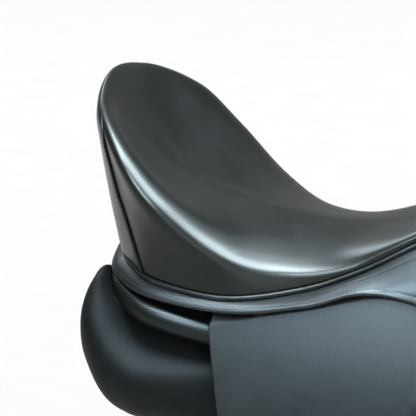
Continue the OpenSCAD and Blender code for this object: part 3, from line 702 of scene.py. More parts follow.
class SaddleLeather(bpy.types.PropertyGroup):
    seat: colour_value("Seat", "Dye of the smooth calf on the seat", (0.0105, 0.0125, 0.0125, 1))
    flap: colour_value("Flap", "Dye of the grained leather on the flaps", (0.0162, 0.0198, 0.0212, 1))
    panel: colour_value("Panel", "Dye of the soft leather on the panels", (0.0148, 0.017, 0.0178, 1))
    strap: colour_value("Strap", "Dye of the girth straps", (0.013, 0.013, 0.013, 1))
    rubbed: colour_value("Rubbed edge", "Colour of a cut edge where the dye has worn", (0.05, 0.05, 0.05, 1))
    seat_sheen: colour_value("Seat sheen", "Tint of what the seat mirrors", (0.82, 0.92, 0.86, 1))
    sheen: colour_value("Sheen", "Tint of what the other leathers mirror", (0.66, 0.82, 0.85, 1))
    seat_gloss: share_value("Seat roughness", "Roughness of the seat's finish", 0.3)
    flap_gloss: share_value("Flap roughness", "Roughness of the flaps' finish", 0.46)
    panel_gloss: share_value("Panel roughness", "Roughness of the panels' finish", 0.56)


class SaddleStitching(bpy.types.PropertyGroup):
    colour: colour_value("Thread", "Colour of the waxed thread", (0.02, 0.02, 0.021, 1))
    length: length_value("Stitch", "Length of one stitch", 0.0031)
    pitch: length_value("Pitch", "Distance from one stitch to the next", 0.0042)
    width: length_value("Thread width", "Thickness of the thread", 0.00085)


class SaddleStage(bpy.types.PropertyGroup):
    floor: colour_value("Floor", "Colour of the floor", (0.92, 0.92, 0.92, 1))
    room: share_value("Room light", "Strength of the even light of the room", 0.24)
    top: power_value("Top light", "Power of the wide gridded lamp overhead", 206)
    key: power_value("Key card", "Power of the bright card above the seat, seen only in reflections", 165)
    wide: power_value("Wide card", "Power of the dim card above the saddle, seen only in reflections", 22)
    side: power_value("Side card", "Power of the small card beyond the seat, seen only in reflections", 5)
    near: power_value("Near card", "Power of the small card before the flap, seen only in reflections", 5)
    front: power_value("Front light", "Power of the soft lamp before the flap", 3)
    back: power_value("Back light", "Power of the upright lamp behind", 1.5)


FINISHES = {}


def finish(name):
    """One of the saddle's materials, made at its first use."""
    if not FINISHES:
        dye, sewn = bpy.context.scene.saddle_leather, bpy.context.scene.saddle_stitching
        rubbed = tuple(dye.rubbed)
        FINISHES.update({
            "seat": leather("seat_calf", dye.seat, dye.seat_gloss, dye.seat_sheen,
                            cells=1500, furrow=0.35, depth=0.05),
            "skirt": leather("skirt_calf", dye.flap, dye.seat_gloss + 0.08, dye.sheen,
                             cells=1300, furrow=0.4, depth=0.06, rubbed=rubbed, shine=0.45),
            "trim": leather("trim_calf", dye.seat, dye.seat_gloss + 0.05, dye.sheen,
                            cells=1300, furrow=0.4, depth=0.06, rubbed=rubbed),
            "flap": leather("flap_grain", dye.flap, dye.flap_gloss, dye.sheen,
                            cells=850, furrow=0.7, depth=0.12, rubbed=rubbed),
            "panel": leather("panel_soft", dye.panel, dye.panel_gloss, dye.sheen,
                             cells=1000, furrow=0.55, depth=0.08, shine=0.08),
            "strap": leather("strap_bridle", dye.strap, 0.42, dye.sheen,
                             cells=1100, furrow=0.3, depth=0.06, rubbed=rubbed),
            "thread": thread("waxed_thread", sewn.colour),
            "web": webbing("linen_web", (0.62, 0.57, 0.46, 1)),
            "steel": steel("brushed_steel", (0.62, 0.63, 0.65, 1), rough=0.28, streak=0.25),
            "bright": steel("bright_steel", (0.72, 0.73, 0.75, 1), rough=0.16, streak=0.1),
            "tree": moulded("moulded_tree", (0.02, 0.02, 0.022, 1)),
        })
    return FINISHES[name]


# Seat

# Along the edge from the cantle: how softly the crest rounds, how full it is, and the stuffing under it
CREST_SOFT, CREST_REACH = ((0, 0.06, 0.26, 0.42, 0.6, 0.8), (18, 22, 20, 17, 17, 14)), 55
CREST_FULL = ((0, 0.08, 0.16, 0.22, 0.32, 0.4, 0.5, 1), (0.6, 0.75, 1.1, 1.3, 1.3, 1.15, 1, 1))
SHOULDER = ((0.08, 0.16, 0.22, 0.3, 0.38, 0.46), (0, 3, 6, 6, 3, 0))
SHOULDER_DOWN, SHOULDER_WIDE = 14, 17
WAIST_SAG, SAG_X, SAG_LONG, SAG_INSIDE = 4.5, -5, 75, 70
SEAT_AROUND, FOAM_LOW = 220, 25.6


@lru_cache(maxsize=None)
def seat_section(u):
    """From the spine over the edge to the welt, with the edge rounded over its stuffing."""
    tops, sides = 80, 60
    raw = np.array([top_at(u, r) for r in np.linspace(0, 1, tops)]
                   + [side_at(u, s) for s in np.linspace(0, 1, sides)[1:]])
    run = np.append(0, np.cumsum(np.linalg.norm(np.diff(raw, axis=0), axis=1)))
    crest, steps, soft_by = run[tops - 1], np.linspace(0, run[-1], 260), np.interp(abs(u), *CREST_SOFT)
    line = np.column_stack([np.interp(steps, run, raw[:, k]) for k in range(3)])
    ends = np.clip(np.minimum(steps, run[-1] - steps) / (2.6 * soft_by), 0, 1)
    blur = soft_by * np.exp(-((steps - crest) / CREST_REACH) ** 2) * ends + 0.01
    weight = np.exp(-0.5 * ((steps[None] - steps[:, None]) / blur[:, None]) ** 2)
    soft = weight @ line / weight.sum(axis=1, keepdims=True)
    lost = [np.interp(crest, steps, line[:, k] - soft[:, k]) for k in range(3)]
    swell = np.interp(abs(u), *CREST_FULL) * np.exp(-((steps - crest) / (2 * soft_by)) ** 2) * ends
    soft = soft + swell[:, None] * np.array(lost)
    shoulder = np.interp(abs(u), *SHOULDER) * np.exp(-((steps - crest - SHOULDER_DOWN) / SHOULDER_WIDE) ** 2) * ends
    soft = soft + shoulder[:, None] * outward_at(u)
    inside = np.clip((crest - steps) / SAG_INSIDE, 0, 1)
    sag = WAIST_SAG * np.exp(-((soft[:, 0] - SAG_X) / SAG_LONG) ** 2)
    soft[:, 2] -= sag * inside ** 2 * (3 - 2 * inside)
    return steps, crest, soft


def seat_at(u, f):
    """A point on the rounded seat, f from -1 at the spine through 0 at the edge to 1 at the welt."""
    place = u * SEAT_AROUND / 2
    ends = []
    for k in (math.floor(place), math.floor(place) + 1):
        steps, crest, line = seat_section(2 * k / SEAT_AROUND)
        run = lerp(crest, 0 if f < 0 else steps[-1], abs(f) ** 1.3)
        ends.append(point(*(np.interp(run, steps, line[:, i]) for i in range(3))))
    return lerp(ends[0], ends[1], place - math.floor(place))


def seat_surface():
    us = [-1 + 2 * i / SEAT_AROUND for i in range(SEAT_AROUND)]
    rings = [[seat_at(u, f) for u in us] for f in np.linspace(-1, 1, 84)]
    rings += [[side_at(u, 1, d) for u in us] for d in (0.8, 2.2)]
    rings += [[side_at(u, s, 3) for u in us] for s in (0.75, 0.45, 0.2)]
    rings += [[top_at(u, r, FOAM_LOW) for u in us] for r in (0.9, 0.7, 0.5, 0.3, 0.14, 0)]
    return [p for ring in rings for p in ring], grid_faces(len(rings), SEAT_AROUND, closed=True)


CANTLE_TOP, CANTLE_OUT = 0.1, 2.2
CANTLE_EDGE = ((0, 0.08, 0.21, 0.33, 0.42, 0.51, 0.58, 0.64, 0.74, 0.83, 1),
               (0.115, 0.126, 0.148, 0.156, 0.166, 0.176, 0.185, 0.2, 0.219, 0.236, 0.262))


def cantle_point(share, f, out):
    """On the leather at the back of the cantle, share from -1 to 1 across it; it thins out to its top edge."""
    u = share * np.interp(f, *CANTLE_EDGE)
    proud = 0.1 + 0.9 * min((f - CANTLE_TOP) / 0.2, 1)
    return seat_at(u, f) + out * proud * outward_at(u)


def cantle_leaf():
    def layer(out):
        return [[cantle_point(a, f, out) for f in np.linspace(CANTLE_TOP, 1, 44)] for a in np.linspace(-1, 1, 61)]
    return rounded_leaf(layer(CANTLE_OUT), layer(0.2), 3)


class SADDLE_OT_seat(bpy.types.Operator):
    """Seat in smooth calf over its foam, the leather on the back of the cantle, and the welt"""
    bl_idname = "saddle.seat"
    bl_label = "Seat"

    def execute(self, context):
        seat = new_piece("seat", *seat_surface(), finish("seat"))
        dressed(seat, "saddle", "seat_leather", "seat_cover", "seat_foam")
        back = new_piece("cantle_strip", *cantle_leaf(), finish("seat"))
        dressed(back, "saddle", "seat_leather", "cantle_back")
        us = [-1 + i / 150 for i in range(300)]
        bead = tube([welt_centre(u) for u in us], [outward_at(u) for u in us], [point(0, 0, 1)] * len(us),
                    WELT_D / 2, WELT_D / 2, 16, closed=True)
        bead = new_piece("welt_bead", *bead, finish("trim"))
        dressed(bead, "saddle", "seat_leather", "seat_welt")
        for share in (-0.95, 0.95):
            SEAMS["saddle"].append([cantle_point(share, f, CANTLE_OUT) for f in np.linspace(0.32, 0.97, 41)])
        return {"FINISHED"}


# Skirts

SKIRT_T, SKIRT_FRONT = 4, 0.9
CREASE_DOWN, CREASE_DEEP, CREASE_WIDE = 8.5, 0.7, 1.0
CREASE_FROM, CREASE_FADE = 0.5, 0.08
SEW_UP, SEW_DEEP, SEW_WIDE = 5.0, 0.2, 1.3


def skirt_point(u, v, depth):
    """The skirt with a creased line below the welt and a sewn channel above its lower edge."""
    length = band_length(u)
    down = v * length
    crease = CREASE_DEEP * math.exp(-((down - CREASE_DOWN) / CREASE_WIDE) ** 2)
    crease *= min(max((abs(u) - CREASE_FROM) / CREASE_FADE, 0), 1)
    sewn = SEW_DEEP * math.exp(-((length - down - SEW_UP) / SEW_WIDE) ** 2)
    return band_at(u, v, depth + (crease + sewn if depth == 0 else 0))


def band_leaf(us, rows=46):
    def layer(depth):
        return [[skirt_point(u, k / (rows - 1), depth) for k in range(rows)] for u in us]
    return rounded_leaf(layer(0), layer(SKIRT_T))


class SADDLE_OT_skirts(bpy.types.Operator):
    """Skirts under the welt, and the facing over the pommel"""
    bl_idname = "saddle.skirts"
    bl_label = "Skirts"

    def execute(self, context):
        for name, side in SIDES:
            us = [-side * lerp(0.0008, SKIRT_FRONT, i / 210) for i in range(211)]
            skirt = new_piece("skirt_leaf_" + name, *band_leaf(us), finish("skirt"))
            dressed(skirt, "saddle", "seat_leather", "skirt_" + name)
            SEAMS["saddle"].append([band_at(u, 1 - SEW_UP / band_length(u), 0.25) for u in us[8:206]])
        us = [lerp(SKIRT_FRONT + 0.012, 2 - SKIRT_FRONT - 0.012, i / 50) for i in range(51)]
        front = new_piece("pommel_facing", *band_leaf([u - 2 if u > 1 else u for u in us]), finish("skirt"))
        dressed(front, "saddle", "seat_leather", "front_facing")
        return {"FINISHED"}


# Panels

PANEL_SEAM, VALLEY_DEEP, VALLEY_WIDE = 0.575, 2.2, 0.014
SEAM_FROM, SEAM_FADE = -165, 45
PIPING_R, PIPING_BACK, PIPING_FRONT = 2.0, -150, 192
PIPING_HIDDEN, PIPING_SUNK = 5, 1.6
FACING_OUT, FACING_UP, FACING_REACH = 9, 10.5, 0.8
# Room left round the roll, where it is looked for, and how far ahead it presses on the panels
TUCK, ROLL_ASIDE, ROLL_STEP, PRESS_AHEAD = 0.5, 30, 3, -60
# Where the creases of a panel are worked out, and the fullness put back
EASE_AHEAD, EASE_FADE, EASE_STEPS, EASE_BY, REFILL = -150, 40, 50, 0.6, 3.0
# How far the first three rows of a panel are drawn up behind the roll, at its first five stations
TUCK_LIFTS = ((0, 0, 0), (31, 26, 3), (9, 13, 10), (2, 4, 6), (0, 0, 0))
LINING_BACK, LINING_FRONT, LINING_T = -165, 150, 2.5
LINING_AT, LINING_ROOM, LINING_CROWN = 0.95, 0.45, 8


def panel_point(x, f, side):
    p = panel_section(x, f)
    return point(x, side * p[0], p[1])


def panel_middle(x, side):
    middle = panel_rows(x)[1]
    return point(x, side * middle[0], middle[1])


@lru_cache(maxsize=None)
def roll_line():
    us = np.linspace(0, FACING_REACH, 160)
    return np.array([half_loop(FACING_ROWS, u) for u in us]), np.array([outward_at(u / 2) for u in us])


def pressed(p):
    """Off-side panel leather, pushed back behind the roll or down under it where the two would meet."""
    centres, across = roll_line()
    away = p - centres
    out = (away * across).sum(axis=1)
    along = np.abs(away[:, 0] * across[:, 1] - away[:, 1] * across[:, 0])
    along[np.abs(out) > ROLL_ASIDE] += 1000
    k = along.argmin()
    a, b, rise = FACING_OUT + TUCK, FACING_UP + TUCK, away[k, 2]
    if along[k] > ROLL_STEP or math.hypot(out[k] / a, rise / b) >= 1:
        return p
    if out[k] > 0:
        return p + across[k] * (a * math.sqrt(1 - (rise / b) ** 2) - out[k])
    return p - point(0, 0, rise + b * math.sqrt(1 - (out[k] / a) ** 2))


def panel_surface(side):
    """A stuffed panel, with a shallow valley where its two leathers are sewn."""
    long_way, around = 150, 112
    rings = []
    for i in range(long_way + 1):
        angle = math.pi * i / long_way
        x = PANEL_MID - PANEL_HALF * math.copysign(1 - (1 - abs(math.cos(angle))) ** 1.15, math.cos(angle))
        ring = []
        centre = panel_middle(x, -1)
        for j in range(around):
            f = j / around
            p = panel_point(x, f, -1) + point(0, 0, tucked_rise(x, f))
            valley = VALLEY_DEEP * sewn_share(x) * math.exp(-((f - PANEL_SEAM) / VALLEY_WIDE) ** 2)
            inward = centre - p
            size = np.linalg.norm(inward)
            ring.append(p + inward / size * valley if size > 8 else p)
        rings.append(ring)
    points = [pressed(p) if p[0] < PRESS_AHEAD else p for ring in eased(np.array(rings)) for p in ring]
    return [mirrored(p, side) for p in points], grid_faces(len(rings), around, closed=True)


def eased(grid):
    """The rings of a panel with the creases at its back worked out and the fullness put back."""
    share = np.clip((EASE_AHEAD - grid[..., :1]) / EASE_FADE, 0, 1)
    for _ in range(EASE_STEPS):
        near = (np.roll(grid, 1, axis=1) + np.roll(grid, -1, axis=1)) / 2
        near[1:-1] = (near[1:-1] + (grid[2:] + grid[:-2]) / 2) / 2
        grid = grid + share * (near - grid) * EASE_BY
        grid[0] = grid[1].mean(axis=0)
    out = grid - grid.mean(axis=1, keepdims=True)
    return grid + share * REFILL * out / np.maximum(np.linalg.norm(out, axis=2, keepdims=True), 1)


def sewn_share(x):
    """The seam between the two leathers runs out before the back of the panel."""
    return min(max((x - SEAM_FROM) / SEAM_FADE, 0), 1)


def tucked_rise(x, f):
    """How far the leather is drawn up behind the roll, above the panel's plain section."""
    at = np.interp(x, PANEL_X[:5], range(5))
    low = int(min(at, 3))
    row = [lerp(a, b, at - low) for a, b in zip(TUCK_LIFTS[low], TUCK_LIFTS[low + 1])]
    return float(np.interp(f * 8, (0, 1, 2, 3, 7, 8), (*row, 0, 0, row[0])))


def panel_piping(side):
    """Piping in the valley of the seam, sinking out of sight towards the back."""
    xs = np.linspace(PIPING_BACK, PIPING_FRONT, 140)
    path = [panel_point(x, PANEL_SEAM, side) for x in xs]
    along = np.gradient(np.array(path), axis=0)
    out = [unit(p - panel_middle(x, side)) for x, p in zip(xs, path)]
    across = [unit(np.cross(a, o)) for a, o in zip(along, out)]
    path = [p - o * lerp(PIPING_HIDDEN, PIPING_SUNK, sewn_share(x)) for x, p, o in zip(xs, path, out)]
    return tube(path, across, out, PIPING_R, PIPING_R, 12)


def facing_roll():
    """The roll at the back of the panels, drawn in at both ends."""
    points, count, sides = [], 160, 30
    for i in range(count + 1):
        t = 2 * i / count - 1
        u = FACING_REACH * t
        draw = max(1 - abs(t) ** 60, 0) ** 0.5
        centre, across = half_loop(FACING_ROWS, u), outward_at(u / 2)
        for j in range(sides):
            angle = 2 * math.pi * j / sides
            points.append(centre + across * FACING_OUT * draw * math.cos(angle)
                          + point(0, 0, FACING_UP * draw * math.sin(angle)))
    return points, grid_faces(count + 1, sides, closed=True)


def lining_leaf():
    """The lining that joins the panels over the spine."""
    def layer(drop):
        grid = []
        for i in range(71):
            x = lerp(LINING_BACK, LINING_FRONT, i / 70)
            half, z = panel_section(x, LINING_AT) - point(LINING_ROOM, 0)
            grid.append([point(x, f * half, z + LINING_CROWN * (1 - f * f) - drop) for f in np.linspace(-1, 1, 25)])
        return grid
    return rounded_leaf(layer(0), layer(LINING_T), 3)


class SADDLE_OT_panels(bpy.types.Operator):
    """Stuffed panels with their piped seams, the rear facing and the lining of the gullet"""
    bl_idname = "saddle.panels"
    bl_label = "Panels"

    def execute(self, context):
        for name, side in SIDES:
            panel = new_piece("panel_pad_" + name, *panel_surface(side), finish("panel"))
            dressed(panel, "saddle", "panel_leather", "panel_" + name)
            piping = new_piece("panel_piping_" + name, *panel_piping(side), finish("trim"))
            dressed(piping, "saddle", "panel_leather")
        roll = new_piece("rear_roll", *facing_roll(), finish("trim"))
        dressed(roll, "saddle", "panel_leather", "rear_facing")
        lining = new_piece("gullet_leather", *lining_leaf(), finish("panel"))
        dressed(lining, "saddle", "panel_leather", "gullet_lining")
        return {"FINISHED"}


# Flaps

TURN_FROM, TURN_FADE = -64, 12


def turn_in(x):
    """The head of the flap turns in to the tree at its back only."""
    return 1 - min(max((x - TURN_FROM) / TURN_FADE, 0), 0.98)


def flap_layer(depth, side):
    """Rows from the lining edge under the skirt, over the head and down the flap to its toe."""
    grid, across = [], 110
    fs = [0.5 - 0.5 * math.cos(math.pi * k / across) * (0.85 + 0.15 * abs(math.cos(math.pi * k / across)))
          for k in range(across + 1)]
    fs = [(f - fs[0]) / (fs[-1] - fs[0]) for f in fs]
    heads = [leaf_x(FLAP_BEND_Z, f, FLAP_END, 0) for f in fs]
    for v in np.linspace(1, 0, 9)[:-1]:
        row = []
        for x in heads:
            top = flap_point(max(x, flap_back(flap_top(x))), flap_top(x), depth)
            edge = tree_edge(x) - point(0, 0, depth - FLAP_T / 2)
            row.append(lerp(top, edge, v * turn_in(x)))
        grid.append(row)
    for v in np.linspace(1, 0, 9)[:-1]:
        zs = [lerp(FLAP_BEND_Z, flap_top(x), v) for x in heads]
        grid.append([flap_point(max(x, flap_back(z)), z, depth) for x, z in zip(heads, zs)])
    for z in leaf_rows(FLAP_BEND_Z, -FLAP_DROP, 90):
        grid.append([flap_point(leaf_x(z, f, FLAP_END, 0), z, depth) for f in fs])
    return [[mirrored(p, side) for p in row] for row in grid]


class SADDLE_OT_flaps(bpy.types.Operator):
    """Flaps, each one leather from its head under the skirt to its toe"""
    bl_idname = "saddle.flaps"
    bl_label = "Flaps"

    def execute(self, context):
        for name, side in SIDES:
            body = "flap_" + name
            leaf = new_piece("flap_leather_" + name,
                             *rounded_leaf(flap_layer(0, side), flap_layer(FLAP_T, side)), finish("flap"))
            mark_edges(leaf)
            bend_flap(leaf)
            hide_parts("flap_head_" + name, body)
        return {"FINISHED"}


def bend_flap(piece):
    """Bakes the piece's transform into its mesh."""
    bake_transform(piece)


# Under the flaps

SWEAT_SEW, SWEAT_SEW_TOP = 6, 34
KNEE_IN_X, KNEE_IN_Z, KNEE_ROOM, KNEE_CROWN = 8, 14, 2.4, 0.8


def sweat_face(x, z, depth=0.0):
    return point(x, -(hang_y(z) - LAYER_IN - depth), z)


def sweat_layer(depth, side):
    return [[mirrored(sweat_face(leaf_x(z, f, SWEAT_END, SWEAT_INSET), z, depth), side)
             for f in np.linspace(0, 1, 61)] for z in leaf_rows(SWEAT_TOP, -SWEAT_LOW, 70)]


def sweat_seam(side):
    """A row of sewing down the back edge of a sweat flap, along its toe and up the front."""
    zs = np.linspace(SWEAT_SEW_TOP, -SWEAT_LOW + SWEAT_SEW, 120)
    back, ahead = ([mirrored(sweat_face(leaf_x(z, end, SWEAT_END, SWEAT_INSET) + inward, z), side) for z in zs]
                   for end, inward in ((0, SWEAT_SEW), (1, -SWEAT_SEW)))
    return back + ahead[::-1]


def block_layer(out, side):
    """The padded block in front of the knee, crowned on its outer face."""
    rx, rz, grid = KNEE_RX - KNEE_IN_X, KNEE_RZ - KNEE_IN_Z, []
    for k in range(49):
        z = KNEE_Z - rz * math.cos(math.radians(lerp(8, 172, k / 48)))
        h = rx * math.sqrt(1 - ((z - KNEE_Z) / rz) ** 2)
        row = []
        for f in np.linspace(-1, 1, 37):
            x = KNEE_X + h * f
            lift = LAYER_IN - KNEE_ROOM + KNEE_CROWN * bulge(x, z) if out else 0
            row.append(mirrored(point(x, -(hang_y(z) - LAYER_IN + 2 * GAP + lift), z), side))
        grid.append(row)
    return grid


class SADDLE_OT_under_flaps(bpy.types.Operator):
    """Sweat flaps against the horse, and the padded knee blocks on them"""
    bl_idname = "saddle.under_flaps"
    bl_label = "Sweat flaps and knee blocks"

    def execute(self, context):
        for name, side in SIDES:
            leaf = new_piece("sweat_leather_" + name,
                             *rounded_leaf(sweat_layer(0, side), sweat_layer(SWEAT_T, side)), finish("flap"))
            dressed(leaf, "saddle", "panel_leather", "sweat_flap_" + name)
            SEAMS["saddle"].append(sweat_seam(side))
            block = new_piece("knee_pad_" + name,
                              *rounded_leaf(block_layer(True, side), block_layer(False, side)), finish("panel"))
            dressed(block, "saddle", "panel_leather", "knee_block_" + name)
        return {"FINISHED"}


# Girth straps

STRAP_SEW, STRAP_SEW_TOP, STRAP_SEW_LOW = 4.0, 38, -236


def strap_face(end, a, z, depth, side):
    return mirrored(point(STRAP_X[end] + a, -(hang_y(z) - STRAP_ROOM - depth), z), side)


def strap_half_width(z):
    """The strap narrows to its tip."""
    share = min(max((STRAP_TIP - STRAP_DROP - z) / STRAP_TIP, 0), 1)
    return lerp(STRAP_W / 2, STRAP_W / 6, share)


def strap_layer(end, depth, side):
    zs = list(np.linspace(STRAP_TOP, STRAP_TIP - STRAP_DROP, 120)) + list(
        np.linspace(STRAP_TIP - STRAP_DROP, -STRAP_DROP, 9)[1:])
    return [[strap_face(end, strap_half_width(z) * f, z, depth, side) for f in np.linspace(-1, 1, 13)] for z in zs]


def hole_pins(end, side):
    """Round pins that punch the buckle holes."""
    points, faces = [], []
    for i in range(STRAP_HOLES):
        z = 2 * STRAP_TIP - STRAP_DROP + i * STRAP_PITCH
        path = [strap_face(end, 0, z, depth, side) for depth in (-4, STRAP_T + 4)]
        p, f = tube(path, [point(1, 0, 0)] * 2, [point(0, 0, 1)] * 2, STRAP_HOLE_R, STRAP_HOLE_R, 24)
        faces += [tuple(len(points) + v for v in face) for face in f]
        points += p
    return points, faces


class SADDLE_OT_straps(bpy.types.Operator):
    """Girth straps with punched holes"""
    bl_idname = "saddle.straps"
    bl_label = "Girth straps"

    def execute(self, context):
        for name, side in SIDES:
            for end in STRAP_X:
                body = f"girth_strap_{end}_{name}"
                strap = new_piece(f"strap_{end}_{name}", *rounded_leaf(
                    strap_layer(end, 0, side), strap_layer(end, STRAP_T, side)), finish("strap"))
                pins = new_piece("hole_pins", *hole_pins(end, side), finish("strap"))
                punch = strap.modifiers.new("holes", "BOOLEAN")
                punch.operation, punch.solver, punch.object = "DIFFERENCE", "EXACT", pins
                applied(strap)
                bpy.data.objects.remove(pins)
                strap.data.set_sharp_from_angle(angle=math.radians(50))
                dressed(strap, body, "strap_leather", body)
                SEAMS[body] = [[strap_face(end, way * (STRAP_W / 2 - STRAP_SEW), z, -0.1, side)
                                for z in np.linspace(STRAP_SEW_TOP, STRAP_SEW_LOW, 120)] for way in (-1, 1)]
        return {"FINISHED"}


# Webs

WEB_T, WEB_TOP, WEB_LOW = 1.6, 26.2, 28.4
WEB_U = {"front": 0.66, "rear": 0.522}
WEB_HALF, WEB_ROOM, WEB_HANGS = 0.02, 0.9, (33, 46)


def girth_web_side(end, f, depth):
    """From the head of a strap up to the edge of the tree and across it to the spine, on the off side."""
    x, u = STRAP_X[end] + f * STRAP_W * 0.45, WEB_U[end] + f * WEB_HALF
    rows = [point(x, -(hang_y(z) - STRAP_ROOM - STRAP_T - WEB_ROOM - depth), z) for z in WEB_HANGS]
    edge = top_at(u, 1, WEB_TOP + depth)
    rows.append(point(x, edge[1], edge[2]))
    return rows + [top_at(u, r, WEB_TOP + depth) for r in (TREE_R, 0.6, 0.44, 0.28, 0.12)]


def girth_web_layer(end, depth):
    grid = []
    for f in np.linspace(-1, 1, 9):
        rows = girth_web_side(end, f, depth)
        rows += [row * point(1, -1, 1) for row in rows[::-1]]
        grid.append([curve(rows, k / 150) for k in range(151)])
    return grid


def seat_web_layer(depth, side):
    return [[mirrored(top_at(u, r, depth), side) for r in np.linspace(0.12, 0.44, 13)]
            for u in np.linspace(0.04, 0.96, 90)]


class SADDLE_OT_webs(bpy.types.Operator):
    """Linen webs over the tree, along the seat and down to the girth straps"""
    bl_idname = "saddle.webs"
    bl_label = "Webs"

    def execute(self, context):
        for end in STRAP_X:
            web = new_piece("web_" + end, *rounded_leaf(girth_web_layer(end, 0), girth_web_layer(end, WEB_T), 3),
                            finish("web"))
            dressed(web, "saddle", "webbing", "girth_web_" + end)
        for name, side in SIDES:
            web = new_piece("web_seat_" + name, *rounded_leaf(
                seat_web_layer(WEB_LOW, side), seat_web_layer(WEB_LOW + WEB_T, side), 3), finish("web"))
            dressed(web, "saddle", "webbing", "seat_web_" + name)
        return {"FINISHED"}


# Head


def softened(node, name, material, width):
    """A copy of a node's solid, welded, with its edges rounded."""
    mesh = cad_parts[node].data.copy()
    mesh.name = name
    bm = bmesh.new()
    bm.from_mesh(mesh)
    bmesh.ops.remove_doubles(bm, verts=bm.verts, dist=0.00001)
    bmesh.ops.dissolve_limit(bm, angle_limit=math.radians(1), verts=bm.verts, edges=bm.edges)
    bm.to_mesh(mesh)
    bm.free()
    mesh.materials.clear()
    mesh.materials.append(material)
    piece = bevelled(in_scene(name, mesh), width)
    piece.data.polygons.foreach_set("use_smooth", [True] * len(piece.data.polygons))
    piece.data.set_sharp_from_angle(angle=math.radians(35))
    return piece


class SADDLE_OT_head(bpy.types.Operator):
    """Leather under the head arch and the pockets for its points"""
    bl_idname = "saddle.head"
    bl_label = "Head linings"

    def execute(self, context):
        dressed(softened("head_lining", "head_leather", finish("panel"), 0.7), "saddle", "panel_leather",
                "head_lining")
        for name, _ in SIDES:
            node = "point_pocket_" + name
            dressed(softened(node, "pocket_" + name, finish("panel"), 1.1), "saddle", "panel_leather", node)
        return {"FINISHED"}


class SADDLE_OT_steel(bpy.types.Operator):
    """Finishes of the tree and the steelwork, which the cards above the leather don't light"""
    bl_idname = "saddle.steel"
    bl_label = "Tree and steel"

    def execute(self, context):
        kinds = {"tree": ("tree",), "steel": ("gullet_plate", "stirrup_bar", "panel_screws"),
                 "bright": ("safety_catch", "dee_ring", "dee_staple", "rivets", "saddle_nail")}
        bare = bpy.data.collections.new("steelwork")
        for kind, names in kinds.items():
            for node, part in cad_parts.items():
                if any(name in node for name in names):
                    bare.objects.link(part)
                    for place in part.material_slots:
                        place.material = finish(kind)
        for place in bare.collection_objects:
            place.light_linking.link_state = "EXCLUDE"
        for card in CARDS:
            card.light_linking.receiver_collection = bare
        return {"FINISHED"}


# Stitching


def stitch_tree():
    """Stitches along an open line: one rounded stitch at each pitch, turned along the line."""
    tree = bpy.data.node_groups.new("Stitch row", "GeometryNodeTree")
    for label, kind, default in (("Line", "NodeSocketGeometry", None), ("Pitch", "NodeSocketFloat", 0.004),
                                 ("Length", "NodeSocketFloat", 0.003), ("Width", "NodeSocketFloat", 0.0008),
                                 ("Thread", "NodeSocketMaterial", None)):
        socket = tree.interface.new_socket(label, in_out="INPUT", socket_type=kind)
        if default is not None:
            socket.default_value = default
    tree.interface.new_socket("Stitches", in_out="OUTPUT", socket_type="NodeSocketGeometry")
    into = tree.nodes.new("NodeGroupInput").outputs
    line = add_node(tree, "GeometryNodeMeshToCurve", (("Mesh", into["Line"]),))
    spots = add_node(tree, "GeometryNodeCurveToPoints", (("Curve", line.outputs[0]), ("Length", into["Pitch"])),
                     mode="LENGTH")
    size = add_node(tree, "ShaderNodeCombineXYZ", (("X", into["Width"]), ("Y", into["Width"]),
                                                   ("Z", into["Length"])))
    stitch = add_node(tree, "GeometryNodeMeshUVSphere", (("Segments", 8), ("Rings", 5), ("Radius", 0.5)))
    shaped = add_node(tree, "GeometryNodeTransform", (("Geometry", stitch.outputs[0]), ("Scale", size.outputs[0])))
    row = add_node(tree, "GeometryNodeInstanceOnPoints", (("Points", spots.outputs["Points"]),
                                                          ("Instance", shaped.outputs[0]),
                                                          ("Rotation", spots.outputs["Rotation"])))
    real = add_node(tree, "GeometryNodeRealizeInstances", (("Geometry", row.outputs[0]),))
    smooth = add_node(tree, "GeometryNodeSetShadeSmooth", ((0, real.outputs[0]),))
    sewn = add_node(tree, "GeometryNodeSetMaterial", (("Geometry", smooth.outputs[0]),
                                                      ("Material", into["Thread"])))
    tree.links.new(sewn.outputs[0], tree.nodes.new("NodeGroupOutput").inputs["Stitches"])
    return tree


def sewn_rows(tree, name, lines, sewing):
    """One mesh of stitches along all the lines of a body."""
    points, edges = [], []
    for line in lines:
        edges += [(len(points) + k, len(points) + k + 1) for k in range(len(line) - 1)]
        points += [tuple(p * MM) for p in line]
    mesh = bpy.data.meshes.new(name)
    mesh.from_pydata(points, edges, [])
    piece = in_scene(name, mesh)
    needle = piece.modifiers.new("stitches", "NODES")
    needle.node_group = tree
    values = {"Pitch": sewing.pitch, "Length": sewing.length, "Width": sewing.width, "Thread": finish("thread")}
    for item in tree.interface.items_tree:
        if item.in_out == "INPUT" and item.name in values:
            needle[item.identifier] = values[item.name]
    return applied(piece)


class SADDLE_OT_stitching(bpy.types.Operator):
    """Waxed thread along every sewn edge"""
    bl_idname = "saddle.stitching"
    bl_label = "Stitching"

    def execute(self, context):
        tree = stitch_tree()
        for body, lines in SEAMS.items():
            rows = sewn_rows(tree, "stitches_" + body, lines, context.scene.saddle_stitching)
            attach(rows, body)
        return {"FINISHED"}


# Stage

VIEW_AZIMUTH, VIEW_ELEVATION = 17, 15
VIEW_MIDDLE = (-0.1336, 0.0, 0.1025)
VIEW_WIDTH = 0.3744
LAMP_COLOUR = (0.985, 0.995, 1.0)
CARD_COLOUR = (0.8, 0.89, 1.0)
FLOOR_HALF = 6
# Cards that only reflections show
CARDS = []


